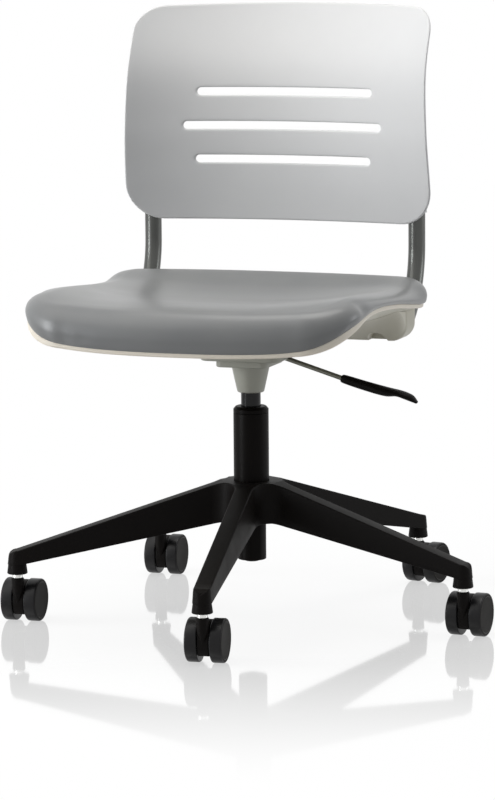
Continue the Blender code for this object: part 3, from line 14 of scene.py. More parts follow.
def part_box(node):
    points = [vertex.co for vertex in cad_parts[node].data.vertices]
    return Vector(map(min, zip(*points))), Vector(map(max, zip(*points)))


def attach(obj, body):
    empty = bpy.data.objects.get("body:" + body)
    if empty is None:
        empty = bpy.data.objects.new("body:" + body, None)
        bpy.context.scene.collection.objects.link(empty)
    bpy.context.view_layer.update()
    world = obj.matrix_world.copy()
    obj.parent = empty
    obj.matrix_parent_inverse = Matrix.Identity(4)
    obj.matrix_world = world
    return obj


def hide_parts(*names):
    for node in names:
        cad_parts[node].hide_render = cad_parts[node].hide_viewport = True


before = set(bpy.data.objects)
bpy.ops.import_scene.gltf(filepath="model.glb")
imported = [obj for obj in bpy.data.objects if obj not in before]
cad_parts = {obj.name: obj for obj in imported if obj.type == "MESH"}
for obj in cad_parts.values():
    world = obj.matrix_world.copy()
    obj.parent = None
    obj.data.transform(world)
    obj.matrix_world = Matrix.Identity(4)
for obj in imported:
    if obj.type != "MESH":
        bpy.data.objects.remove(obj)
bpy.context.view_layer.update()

IMAGE_WIDTH, IMAGE_HEIGHT = 495, 800

# Shared gaps
FIT_GAP = 0.0003
PAD_GAP = 0.0007
RUN_GAP = 0.0008

# Seat
SEAT_HALF_WIDTH = 0.2360
SEAT_DEPTH = 0.4220
SEAT_REAR = 0.1050
SEAT_FRONT = SEAT_REAR - SEAT_DEPTH
SEAT_HEIGHT = 0.4500
SEAT_SWEEP = 0.0400
SEAT_REAR_CORNER = 0.0420
SEAT_FRONT_CORNER = 0.0720
SEAT_FRONT_BOW = 0.0120
SEAT_CENTRE_Y = -0.0900
SHELL_DISH_POWER = 2.2
PAD_DISH_POWER = 2.6
PAD_CREST_SHARE = 0.88
LIP_FADE = 0.0100
RIM_LINE = ((0.0, 0.05), (0.107, -0.025), (0.225, 0.088), (0.415, 0.312), (0.628, 0.425), (0.758, 0.30),
            (0.865, -0.012), (0.936, -0.338), (1.0, -0.688))
SHELL_CENTRE_LINE = ((0.0, -0.05), (0.095, -0.40), (0.201, -0.80), (0.367, -0.988), (0.557, -0.925),
                     (0.746, -0.80), (0.889, -0.775), (1.0, -0.80))
PAD_CREST_LINE = ((0.0, 0.90), (0.071, 0.85), (0.178, 0.60), (0.32, 0.612), (0.533, 0.775), (0.723, 0.90),
                  (0.841, 0.85), (0.936, 0.60), (1.0, 0.25))
PAD_CENTRE_LINE = ((0.0, 0.975), (0.071, 0.90), (0.166, 0.45), (0.32, 0.175), (0.533, 0.275), (0.723, 0.46),
                   (0.841, 0.55), (0.936, 0.54), (1.0, 0.30))
PAD_ROUND = 0.0300
PAD_BORDER = ((0.02, 0.0, 0.0), (-0.03, 0.0, 0.0005), (-0.085, 0.12, 0.0), (-0.11, 0.34, 0.0), (-0.01, 0.60, 0.0),
              (0.217, 0.82, 0.0), (0.533, 0.95, 0.0), (1.0, 1.0, 0.0))
RIM_FLARE = 0.0055
RIM_FLARE_PLACE = Vector((0.2220, -0.2750))
RIM_FLARE_REACH = 0.0450
RIM_TUCK = 0.0038
RIM_TUCK_PLACE = Vector((0.2220, 0.0920))
RIM_TUCK_REACH = 0.0400
RIM_HEIGHT = 0.0060
RIM_BULGE = 0.0004
SHELL_THICKNESS = 0.0050
SHELL_BOSS_RADIUS = 0.0090
SHELL_BOSS_X = 0.0450
SHELL_BOSS_Y = 0.0385
PLATE_TOP = 0.4047
OUTLINE_POINTS = 240

# Recline housings and tubes
TUBE_RADIUS = 0.0121
TUBE_X = 0.2000
TUBE_Y = 0.1506
TUBE_BEND_RADIUS = 0.1200
TUBE_BEND = radians(62.0)
TUBE_BEND_TRIM = 0.037
TUBE_FOOT = 0.0023
TUBE_TOP = 0.6500
HINGE_Z = 0.4155
BEND_END_Z = HINGE_Z + TUBE_FOOT * cos(TUBE_BEND)
BEND_END_Y = TUBE_Y - TUBE_BEND_RADIUS * (1.0 - cos(TUBE_BEND))
TUBE_BEND_TOP = BEND_END_Z + TUBE_BEND_RADIUS * sin(TUBE_BEND)
HINGE_Y = BEND_END_Y - TUBE_FOOT * sin(TUBE_BEND)
HINGE_HUB_RADIUS = 0.0126
HINGE_HUB_OUTER = 0.0085
HINGE_PIN_RADIUS = 0.0055
SLOT_SIDE = TUBE_RADIUS + 0.0010
SLOT_DEPTH = HINGE_HUB_RADIUS + 0.0014
HOUSING_OUTER = 0.2150
HOUSING_INNER = 0.1125
HOUSING_FRONT = HINGE_Y - 0.0400
HOUSING_REAR = HINGE_Y + 0.0158
HOUSING_BOTTOM = 0.3955
HOUSING_CORNER = 0.0230
HOUSING_REAR_ROUND = 0.0140
HOUSING_NOSE_RUN = 0.0070
HOUSING_NOSE_EASE = 0.0075
HOUSING_REAR_EASE = 0.0045
HOUSING_SCOOP = 0.0700
HOUSING_SCOOP_THIN = 0.012
HOUSING_SCOOP_OUTER = 0.2245
TORSION_BUSH_RADIUS = 0.0122
TORSION_BUSH_INNER = 0.1255
RAIL_END = 0.1305
RAIL_DEPTH = 0.0200
RAIL_HEIGHT = 0.0150
RAIL_CLEARANCE = 0.0035
PIN_START = HOUSING_INNER + 0.0037
SCREW_RADIUS = 0.0027
SCREW_REACH = 0.0183
RECESS_X = 0.1725
RECESS_HALF_WIDTH = 0.0145
RECESS_HEIGHT = 0.0130
RECESS_DEPTH = 0.0240

# Back shell
BACK_BOTTOM = 0.5510
BACK_HEIGHT = 0.3100
BACK_TOP = BACK_BOTTOM + BACK_HEIGHT
BACK_RAKE = 0.0944
BACK_BEND_RADIUS = 0.3125
BACK_HALF_WIDTH = 0.2307
BACK_THICKNESS = 0.0060
BACK_TOP_DROP = 0.0042
BACK_TOP_CORNER = 0.0345
BACK_BOTTOM_CORNER = 0.0520
BACK_DEPTH_LINE = ((-0.013, 0.132), (0.223, 0.110), (0.448, 0.163), (0.706, 0.396), (1.0, 1.0))
BACK_CURVE_LINE = ((-0.013, 0.428), (0.223, 0.566), (0.448, 0.703), (0.706, 0.859), (1.0, 1.0))
BACK_WIDTH_LINE = ((-0.013, 1.0), (0.223, 0.993), (0.448, 0.981), (0.706, 0.969), (1.0, 0.966))
BACK_EDGE = 0.0024
SLOT_HEIGHT = 0.0114
SLOTS = ((0.6389, 0.1322), (0.6873, 0.1494), (0.7357, 0.1322))
SLOT_EDGE = 0.0024
SLOT_MARGIN = 0.0030
SLEEVE_WALL = 0.0020
SLEEVE_BOTTOM = 0.5680
SLEEVE_CAP = 0.0040
SLEEVE_EASE = 0.0040

# Column, gas lift and socket
COLUMN_RADIUS = 0.0250
COLUMN_TOP = 0.2940
COLUMN_TAPER_TOP = 0.1980
COLUMN_BOTTOM = 0.0840
COLUMN_FOOT_RADIUS = 0.0202
COLUMN_WALL = 0.0016
COLUMN_FLOOR = 0.0030
BUSH_CAP = 0.0090
BUSH_TAPER = 0.0035
BUSH_LENGTH = 0.0600
CYLINDER_RADIUS = 0.0140
CYLINDER_BOTTOM = 0.1180
CYLINDER_NOSE_RADIUS = 0.0129
CYLINDER_HOLLOW_TOP = 0.3050
NOSE_TOP = 0.3675
BUTTON_WELL_RADIUS = 0.0048
BUTTON_WELL_DEPTH = 0.0120
ROD_RADIUS = 0.0050
CONE_BOTTOM = 0.3230
CONE_TOP = 0.3600
CONE_BOTTOM_RADIUS = 0.0188
CONE_TOP_RADIUS = 0.0275
PAD_BOTTOM = 0.3625
PAD_HALF_WIDTH = 0.0380
PAD_FRONT = -0.0460
PAD_REAR = 0.0360
FLANGE_BOTTOM = 0.3720
FLANGE_HALF_WIDTH = 0.0590
FLANGE_FRONT = -0.0560
FLANGE_REAR = 0.0540
PLATE_BOTTOM = 0.3987
FLANGE_CORNER = 0.0140
PAD_CORNER = 0.0100
CAVITY_HALF_WIDTH = 0.0105
CAVITY_START = -0.0200
CAVITY_END = 0.0800
MOUTH_START = FLANGE_HALF_WIDTH - 0.0180

# Lift lever
LEVER_PIVOT_X = 0.0350
LEVER_PIVOT_Z = 0.3780
LEVER_SLOPE = radians(17.0)
LEVER_INNER_REACH = 0.0440
LEVER_OUTER_REACH = 0.1240
LEVER_ROD_RADIUS = 0.0034
LEVER_BOSS_RADIUS = 0.0060
LEVER_PIN_RADIUS = 0.0020
GRIP_START = 0.1040
GRIP_LENGTH = 0.1130
GRIP_TIP_EASE = 0.0015
GRIP_SECTIONS = ((0.0, 0.0046, 0.0046, 0.0), (0.05, 0.0062, 0.0062, 0.0), (0.35, 0.0085, 0.0068, -0.0012),
                 (0.60, 0.0115, 0.0066, -0.0033), (0.74, 0.0117, 0.0048, -0.0066), (0.84, 0.0112, 0.0049, -0.0069),
                 (0.93, 0.0090, 0.0045, -0.0061), (1.0, 0.0050, 0.0022, -0.0035))

# Star base
LEG_COUNT = 5
LEG_GAP_DEG = 180.0 / LEG_COUNT
LEG_TURN = radians(7.4 - 90.0)
STEM_CIRCLE = 0.3334
HUB_TOP = 0.1970
HUB_BOTTOM = 0.1407
HUB_VALLEY = 0.0430
LEG_TOP_HALF = 0.0125
LEG_TIP_HALF = 0.0120
LEG_FLARE = 0.0050
LEG_TIP_FLARE = 0.0015
LEG_TIP_TOP = 0.1062
LEG_TIP_BOTTOM = 0.0853
LEG_TIP_ROLL = 0.0075
LEG_EDGE = 0.0018
LEG_FOOT_EDGE = 0.0010
LEG_WALL = 0.0034
LEG_RIB = 0.0035
LEG_BAYS = 3
BAY_START = 0.0780
BAY_END = 0.3020
SOCKET_BOTTOM = 0.0722
SOCKET_RADIUS = 0.0146
SOCKET_TOP_RADIUS = 0.0112

# Casters
WHEEL_RADIUS = 0.0303
WHEEL_WIDTH = 0.0172
WHEEL_FACE_SUNK = 0.0004
WHEEL_FACE_EDGE = 0.0052
WHEEL_BORE_WALL = 0.0040
FACE_ALONG_AXLE = 0.9
CASTER_WIDTH = 0.0518
CASTER_TRAIL = 0.0266
AXLE_RADIUS = 0.0030
STEM_RADIUS = 0.0055
STEM_COLLAR_RADIUS = 0.0075
STEM_DEPTH_IN_LEG = 0.0240
STEM_DEPTH_IN_HOOD = 0.0220
HOOD_RADIUS = 0.0284
HOOD_FLOOR_GAP = 0.0125
HOOD_NECK_RADIUS = 0.0092
HOOD_TOP = 0.0660
CASTER_TURN_DEG = (-5.5, 4.1, 10.6, -1.3, -2.3)

SIDES = ("left", "right")

column_low, column_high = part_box("column_tube")
CHAIR = Matrix.Translation((0.5 * (column_low.x + column_high.x), 0.5 * (column_low.y + column_high.y), 0.0))


def set_all(target, **settings):
    for key, value in settings.items():
        setattr(target, key, value)
    return target


def linked(name, data):
    """Object in the scene for a mesh, a lamp or a camera."""
    item = bpy.data.objects.new(name, data)
    bpy.context.scene.collection.objects.link(item)
    return item


# Curves and outlines

def smooth_line(points, at):
    """Value on a smooth cubic through a few (place, value) points, held flat past its ends."""
    places = [p[0] for p in points]
    values = [p[1] for p in points]
    if at <= places[0]:
        return values[0]
    if at >= places[-1]:
        return values[-1]
    slopes = []
    for i in range(len(points)):
        before = max(i - 1, 0)
        after = min(i + 1, len(points) - 1)
        slopes.append((values[after] - values[before]) / (places[after] - places[before]))
    i = max(k for k in range(len(places) - 1) if places[k] <= at)
    span = places[i + 1] - places[i]
    t = (at - places[i]) / span
    return (values[i] * (1 + 2 * t) * (1 - t) ** 2 + slopes[i] * span * t * (1 - t) ** 2
            + values[i + 1] * t * t * (3 - 2 * t) + slopes[i + 1] * span * t * t * (t - 1))


def drawn_through(points, steps):
    """Points on a smooth curve through a few points of any dimension."""
    ends = [points[0]] + list(points) + [points[-1]]
    line = []
    for k in range(1, len(ends) - 2):
        for s in range(steps):
            t = s / steps
            weights = (0.5 * (-t + 2 * t * t - t ** 3), 0.5 * (2 - 5 * t * t + 3 * t ** 3),
                       0.5 * (t + 4 * t * t - 3 * t ** 3), 0.5 * (t ** 3 - t * t))
            line.append(tuple(sum(w * ends[k - 1 + n][axis] for n, w in enumerate(weights))
                              for axis in range(len(points[0]))))
    line.append(tuple(points[-1]))
    return line


def eased(corners, steps=5):
    """Outline through (u, v, fillet) corners, each fillet drawn as an arc; the outline stays open."""
    line = []
    for i, (u, v, fillet) in enumerate(corners):
        here = Vector((u, v))
        if fillet == 0.0 or i in (0, len(corners) - 1):
            line.append(here)
            continue
        back = (Vector(corners[i - 1][:2]) - here).normalized()
        ahead = (Vector(corners[i + 1][:2]) - here).normalized()
        half = 0.5 * back.angle(ahead)
        reach = fillet / tan(half)
        centre = here + (back + ahead).normalized() * (fillet / sin(half))
        start = here + reach * back - centre
        end = here + reach * ahead - centre
        turn = start.angle_signed(end)
        for k in range(steps + 1):
            spin = -turn * k / steps
            line.append(centre + Vector((start.x * cos(spin) - start.y * sin(spin),
                                         start.x * sin(spin) + start.y * cos(spin))))
    return line


def arc(radius, start, end, steps, centre=(0.0, 0.0)):
    """(u, v) points on an arc between two angles in degrees."""
    turns = [radians(start + (end - start) * k / steps) for k in range(steps + 1)]
    return [(centre[0] + radius * cos(t), centre[1] + radius * sin(t)) for t in turns]


def limited(value):
    return min(max(value, 0.0), 1.0)


# Meshes

def closed_up(bm, merge=0.00001):
    bmesh.ops.remove_doubles(bm, verts=bm.verts, dist=merge)
    bmesh.ops.recalc_face_normals(bm, faces=bm.faces)
    return bm


def bridge(bm, low, high):
    """Faces between two rings of vertices; a ring of one vertex makes a fan."""
    count = max(len(low), len(high))
    for i in range(count):
        j = (i + 1) % count
        corners = []
        for corner in (low[i % len(low)], low[j % len(low)], high[j % len(high)], high[i % len(high)]):
            if corner not in corners:
                corners.append(corner)
        if len(corners) > 2:
            bm.faces.new(corners)


def loft(rings, closed=False):
    """Solid through rings of points; open ends are capped."""
    bm = bmesh.new()
    made = [[bm.verts.new(p) for p in ring] for ring in rings]
    for low, high in zip(made, made[1:]):
        bridge(bm, low, high)
    if closed:
        bridge(bm, made[-1], made[0])
    else:
        for ring in (made[0], made[-1]):
            if len(ring) > 2:
                bm.faces.new(ring)
    return closed_up(bm)


def ring_about_z(radius, height, sides):
    if radius < 0.000001:
        return [Vector((0.0, 0.0, height))]
    return [Vector((radius * cos(2.0 * pi * k / sides), radius * sin(2.0 * pi * k / sides), height))
            for k in range(sides)]


def turned(profile, sides=72, closed=False):
    """Solid of revolution about Z from (radius, height) points."""
    return loft([ring_about_z(p[0], p[1], sides) for p in profile], closed)


def rod_between(radius, low, high, sides=32):
    """Plain rod about Z."""
    return turned(((0.0, low), (radius, low), (radius, high), (0.0, high)), sides)


def along_x(bm, y, z):
    bm.transform(Matrix.Translation((0.0, y, z)) @ Matrix.Rotation(radians(90), 4, "Y"))
    return bm


def along_y(bm):
    bm.transform(Matrix.Rotation(radians(90), 4, "X"))
    return bm


def drum(radius, half, edge, sides):
    """Drum about Z with eased edges."""
    corners = ((0.0, -half, 0.0), (radius, -half, edge), (radius, half, edge), (0.0, half, 0.0))
    return turned(eased(corners, 4), sides)


def block(low, high):
    bm = bmesh.new()
    bmesh.ops.create_cube(bm, size=1.0)
    for v in bm.verts:
        for k in range(3):
            v.co[k] = high[k] if v.co[k] > 0 else low[k]
    return bm


def soft_slab(low, high, corner, top_edge, bottom_edge):
    """Plate with rounded upright corners and eased top and bottom edges."""
    profile = [(bottom_edge - v, low[2] + bottom_edge - u) for u, v in arc(bottom_edge, 0.0, 90.0, 6)]
    profile += [(top_edge - u, high[2] - top_edge + v) for u, v in arc(top_edge, 0.0, 90.0, 6)]
    right, rear, left, front = high[0] - corner, high[1] - corner, low[0] + corner, low[1] + corner
    corners = ((right, rear, 0), (left, rear, 90), (left, front, 180), (right, front, 270))
    rings = []
    for inset, z in profile:
        reach = max(corner - inset, 0.0005)
        rings.append([Vector((x, y, z)) for *middle, start in corners
                      for x, y in arc(reach, start, start + 90.0, 6, middle)])
    return loft(rings)


def to_mesh(bm, name):
    mesh = bpy.data.meshes.new(name)
    bm.to_mesh(mesh)
    bm.free()
    return mesh


def from_mesh(mesh):
    bm = bmesh.new()
    bm.from_mesh(mesh)
    bpy.data.meshes.remove(mesh)
    return bm


def together(parts):
    """Separate solids in one mesh."""
    bm = bmesh.new()
    for part in parts:
        mesh = to_mesh(part, "part")
        bm.from_mesh(mesh)
        bpy.data.meshes.remove(mesh)
    return bm


def evaluated(thing):
    """Plain copy of an object's mesh with its modifiers worked in."""
    depsgraph = bpy.context.evaluated_depsgraph_get()
    return bpy.data.meshes.new_from_object(thing.evaluated_get(depsgraph))


def drop(*things):
    for thing in things:
        mesh = thing.data
        bpy.data.objects.remove(thing)
        bpy.data.meshes.remove(mesh)


def carved(bm, steps):
    """Exact Booleans in turn: steps are ("UNION" or "DIFFERENCE", solid) pairs."""
    for solid in [bm] + [tool for operation, tool in steps]:
        bmesh.ops.triangulate(solid, faces=[f for f in solid.faces if len(f.verts) > 4])
    body = linked("carved", to_mesh(bm, "carved"))
    tools = []
    for operation, solid in steps:
        tools.append(linked("tool", to_mesh(solid, "tool")))
        set_all(body.modifiers.new(operation.lower(), "BOOLEAN"), operation=operation, solver="EXACT",
                object=tools[-1])
    result = from_mesh(evaluated(body))
    drop(body, *tools)
    bmesh.ops.remove_doubles(result, verts=result.verts, dist=0.000002)
    return result


def mirrored(bm):
    bm.transform(Matrix.Scale(-1.0, 4, (1.0, 0.0, 0.0)))
    bmesh.ops.reverse_faces(bm, faces=bm.faces)
    return bm


def piece(name, bm, coats, body, nodes, place=CHAIR, sharp=38.0, pick=None):
    """Named piece in the frame: its place is in its mesh, it rides on a body and stands for CAD nodes."""
    bm.transform(place)
    mesh = to_mesh(bm, name)
    mesh.shade_smooth()
    mesh.set_sharp_from_angle(angle=radians(sharp))
    for coat in coats:
        mesh.materials.append(FINISHES[coat])
    if pick:
        for face in mesh.polygons:
            face.material_index = pick(face)
    item = linked(name, mesh)
    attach(item, body)
    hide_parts(*nodes)
    return item


# Shader groups and finishes

def wire(tree, value, target):
    """Link a socket or set a plain value on a target socket."""
    if isinstance(value, bpy.types.NodeSocket):
        tree.links.new(value, target)
    else:
        target.default_value = value


def node(tree, kind, values=(), **settings):
    """Node with its settings, and (input, value or socket) pairs set."""
    made = set_all(tree.nodes.new(kind), **settings)
    for key, value in values:
        wire(tree, value, made.inputs[key])
    return made


def math_node(tree, operation, a, b):
    return node(tree, "ShaderNodeMath", ((0, a), (1, b)), operation=operation).outputs[0]


def group(name, inputs, outputs, kind="ShaderNodeTree"):
    """Node group with (title, type, value) inputs and (title, type) outputs."""
    tree = bpy.data.node_groups.new(name, kind)
    for title, holds, value in inputs:
        made = tree.interface.new_socket(name=title, in_out="INPUT", socket_type="NodeSocket" + holds)
        if value is not None:
            made.default_value = value
    for title, holds in outputs:
        tree.interface.new_socket(name=title, in_out="OUTPUT", socket_type="NodeSocket" + holds)
    return tree, tree.nodes.new("NodeGroupInput"), tree.nodes.new("NodeGroupOutput")


def moulding_grain_group():
    """Fine skin of moulded and coated pieces: a grain height and a slow mottle."""
    tree, given, result = group(
        "moulding_grain",
        (("Place", "Vector", None), ("Grain per metre", "Float", 1400.0), ("Mottle per metre", "Float", 14.0)),
        (("Height", "Float"), ("Mottle", "Float")))
    place = given.outputs["Place"]
    fine = node(tree, "ShaderNodeTexNoise", (("Vector", place), ("Scale", given.outputs["Grain per metre"]),
                                             ("Detail", 2.0), ("Roughness", 0.6)))
    coarse = math_node(tree, "MULTIPLY", given.outputs["Grain per metre"], 0.21)
    broad = node(tree, "ShaderNodeTexNoise", (("Vector", place), ("Scale", coarse), ("Detail", 1.0)))
    height = math_node(tree, "ADD", fine.outputs[0], math_node(tree, "MULTIPLY", broad.outputs[0], 0.5))
    tree.links.new(height, result.inputs["Height"])
    slow = node(tree, "ShaderNodeTexNoise", (("Vector", place), ("Scale", given.outputs["Mottle per metre"]),
                                             ("Detail", 4.0), ("Roughness", 0.55)))
    spread = node(tree, "ShaderNodeMapRange", ((0, slow.outputs[0]), (1, 0.3), (2, 0.7)))
    tree.links.new(spread.outputs[0], result.inputs["Mottle"])
    return tree


def hide_grain_group():
    """Pebbled skin of upholstery vinyl: rounded cells with fine creases between them."""
    tree, given, result = group(
        "hide_grain",
        (("Place", "Vector", None), ("Cells per metre", "Float", 900.0)),
        (("Height", "Float"), ("Creases", "Float")))
    place = given.outputs["Place"]
    cells = given.outputs["Cells per metre"]
    coarse = math_node(tree, "MULTIPLY", cells, 0.6)
    wander = node(tree, "ShaderNodeTexNoise", (("Vector", place), ("Scale", coarse), ("Detail", 1.0)))
    bent = node(tree, "ShaderNodeVectorMath", ((0, wander.outputs[1]), (1, (0.0009, 0.0009, 0.0009))),
                operation="MULTIPLY")
    moved = node(tree, "ShaderNodeVectorMath", ((0, place), (1, bent.outputs[0])), operation="ADD")
    edge = node(tree, "ShaderNodeTexVoronoi", (("Vector", moved.outputs[0]), ("Scale", cells)),
                feature="DISTANCE_TO_EDGE")
    rounded = node(tree, "ShaderNodeMapRange", ((0, edge.outputs["Distance"]), (1, 0.0), (2, 0.16)),
                   interpolation_type="SMOOTHSTEP")
    tree.links.new(rounded.outputs[0], result.inputs["Height"])
    tree.links.new(math_node(tree, "SUBTRACT", 1.0, rounded.outputs[0]), result.inputs["Creases"])
    return tree


def handled_tone_group():
    """Colour of a used surface: a slow drift between two tones and thin dust where it faces up."""
    tree, given, result = group(
        "handled_tone",
        (("Tone", "Color", None), ("Second tone", "Color", None), ("Dust tone", "Color", None),
         ("Mottle", "Float", 0.5), ("Dust", "Float", 0.0)),
        (("Colour", "Color"),))
    drift = node(tree, "ShaderNodeMix", ((0, given.outputs["Mottle"]), (6, given.outputs["Tone"]),
                                         (7, given.outputs["Second tone"])), data_type="RGBA")
    facing = node(tree, "ShaderNodeNewGeometry")
    up = node(tree, "ShaderNodeSeparateXYZ", ((0, facing.outputs["Normal"]),))
    lying = node(tree, "ShaderNodeMapRange", ((0, up.outputs[2]), (1, 0.35), (2, 1.0)))
    share = math_node(tree, "MULTIPLY", lying.outputs[0], given.outputs["Dust"])
    share = math_node(tree, "MULTIPLY", share, math_node(tree, "ADD", 0.4, given.outputs["Mottle"]))
    dusty = node(tree, "ShaderNodeMix", ((0, share), (6, drift.outputs[2]), (7, given.outputs["Dust tone"])),
                 data_type="RGBA")
    tree.links.new(dusty.outputs[2], result.inputs["Colour"])
    return tree


MOULDING_GRAIN = moulding_grain_group()
HIDE_GRAIN = hide_grain_group()
HANDLED_TONE = handled_tone_group()
DUST_TONE = (0.35, 0.34, 0.32)


def finish(name, tone, second, rough, metallic=0.0, grain=1400.0, bump=0.15, depth=0.0001, dust=0.0, mottle=14.0,
           hide=0.0, specular=0.5, sheen=0.0):
    """Procedural finish: drifting tone, mottled roughness between two values and a fine grain."""
    material = set_all(bpy.data.materials.new(name), use_nodes=True, diffuse_color=(*tone, 1.0))
    tree = material.node_tree
    place = node(tree, "ShaderNodeTexCoord").outputs["Object"]
    skin = node(tree, "ShaderNodeGroup",
                (("Place", place), ("Grain per metre", grain), ("Mottle per metre", mottle)),
                node_tree=MOULDING_GRAIN).outputs
    colour = node(tree, "ShaderNodeGroup",
                  (("Tone", (*tone, 1.0)), ("Second tone", (*second, 1.0)), ("Dust tone", (*DUST_TONE, 1.0)),
                   ("Dust", dust), ("Mottle", skin["Mottle"])), node_tree=HANDLED_TONE)
    gloss = node(tree, "ShaderNodeMapRange", ((0, skin["Mottle"]), (3, rough[0]), (4, rough[1])))
    height = skin["Height"]
    if hide:
        cells = node(tree, "ShaderNodeGroup", (("Place", place), ("Cells per metre", hide)), node_tree=HIDE_GRAIN)
        height = math_node(tree, "ADD", math_node(tree, "MULTIPLY", height, 0.35), cells.outputs["Height"])
    relief = node(tree, "ShaderNodeBump", (("Strength", bump), ("Distance", depth), ("Height", height)))
    shader = tree.nodes["Principled BSDF"].inputs
    for title, value in (("Base Color", colour.outputs["Colour"]), ("Roughness", gloss.outputs[0]),
                         ("Normal", relief.outputs[0]), ("Metallic", metallic), ("Specular IOR Level", specular)):
        wire(tree, value, shader[title])
    if sheen:
        shader["Sheen Weight"].default_value = sheen
        shader["Sheen Roughness"].default_value = 0.4
    return material


FINISHES = {row[0]: finish(*row[:4], **row[4]) for row in (
    ("vinyl_grey", (0.177, 0.180, 0.183), (0.191, 0.194, 0.194), (0.29, 0.36),
     dict(grain=2600.0, bump=0.10, depth=0.00012, dust=0.03, hide=850.0, specular=0.42, sheen=0.02)),
    ("shell_cream", (0.81, 0.738, 0.632), (0.84, 0.768, 0.662), (0.40, 0.50), dict(bump=0.08)),
    ("back_grey", (0.682, 0.679, 0.682), (0.708, 0.705, 0.706), (0.52, 0.58),
     dict(grain=2200.0, bump=0.12, depth=0.00008, mottle=7.0, specular=0.22)),
    ("housing_grey_green", (0.492, 0.468, 0.384), (0.528, 0.502, 0.416), (0.42, 0.52),
     dict(grain=1100.0, bump=0.20, dust=0.03)),
    ("cast_grey_green", (0.285, 0.284, 0.244), (0.313, 0.312, 0.272), (0.40, 0.50),
     dict(metallic=0.15, grain=1100.0, bump=0.22, dust=0.05)),
    ("rod_grey_green", (0.125, 0.124, 0.098), (0.155, 0.153, 0.124), (0.30, 0.40),
     dict(metallic=0.35, grain=2600.0, bump=0.10, depth=0.00005)),
    ("tube_silver", (0.075, 0.077, 0.071), (0.089, 0.091, 0.086), (0.26, 0.34),
     dict(metallic=0.55, grain=3800.0, bump=0.10, depth=0.00005)),
    ("nylon_black", (0.0040, 0.0032, 0.0029), (0.0054, 0.0044, 0.0040), (0.42, 0.54),
     dict(grain=1700.0, bump=0.26, depth=0.00012, dust=0.004, specular=0.06)),
    ("steel_black", (0.0030, 0.0023, 0.0020), (0.0044, 0.0034, 0.0030), (0.36, 0.44),
     dict(grain=2400.0, bump=0.12, depth=0.00006, specular=0.05)),
    ("cylinder_black", (0.0030, 0.0030, 0.0034), (0.0044, 0.0044, 0.0050), (0.12, 0.20),
     dict(grain=3000.0, bump=0.04, depth=0.00003, specular=0.22)),
    ("steel_bright", (0.62, 0.62, 0.60), (0.70, 0.70, 0.68), (0.20, 0.32),
     dict(metallic=1.0, grain=2800.0, bump=0.10, depth=0.00004)),
    ("tread_black", (0.0058, 0.0056, 0.0062), (0.0080, 0.0077, 0.0086), (0.28, 0.38),
     dict(grain=2000.0, bump=0.14, depth=0.00006, specular=0.20)),
    ("wheel_face_black", (0.0060, 0.0053, 0.0045), (0.0084, 0.0075, 0.0064), (0.50, 0.60),
     dict(grain=1500.0, bump=0.28, depth=0.0001, dust=0.004, specular=0.06)),
    ("rubber_black", (0.018, 0.018, 0.018), (0.024, 0.024, 0.024), (0.70, 0.85), dict(bump=0.3)),
)}


# Bars that follow a path, made with geometry nodes

def bar_tree():
    """Round bar along a line of edges; inputs: radius, sides and finish."""
    tree, given, result = group(
        "bar_along_path",
        (("Path", "Geometry", None), ("Radius", "Float", None), ("Sides", "Int", None),
         ("Finish", "Material", None)),
        (("Bar", "Geometry"),), "GeometryNodeTree")
    path = node(tree, "GeometryNodeMeshToCurve", (("Mesh", given.outputs["Path"]),))
    ring = node(tree, "GeometryNodeCurvePrimitiveCircle", (("Resolution", given.outputs["Sides"]),
                                                           ("Radius", given.outputs["Radius"])))
    bar = node(tree, "GeometryNodeCurveToMesh", (("Curve", path.outputs[0]), ("Profile Curve", ring.outputs[0]),
                                                 ("Fill Caps", True)))
    real = node(tree, "GeometryNodeRealizeInstances", ((0, bar.outputs[0]),))
    coated = node(tree, "GeometryNodeSetMaterial", (("Geometry", real.outputs[0]),
                                                    ("Material", given.outputs["Finish"])))
    tree.links.new(coated.outputs[0], result.inputs["Bar"])
    return tree, {socket.name: socket.identifier for socket in tree.interface.items_tree}


BAR_TREE, BAR_INPUTS = bar_tree()


def bar_along(points, radius, sides, coat):
    """Closed bar along points, as a mesh in the chair frame."""
    mesh = bpy.data.meshes.new("bar_path")
    mesh.from_pydata([tuple(p) for p in points], [(i, i + 1) for i in range(len(points) - 1)], [])
    path = linked("bar_path", mesh)
    modifier = set_all(path.modifiers.new("bar", "NODES"), node_group=BAR_TREE)
    for title, value in (("Radius", radius), ("Sides", sides), ("Finish", coat)):
        modifier[BAR_INPUTS[title]] = value
    bm = from_mesh(evaluated(path))
    drop(path)
    return closed_up(bm)


# Seat

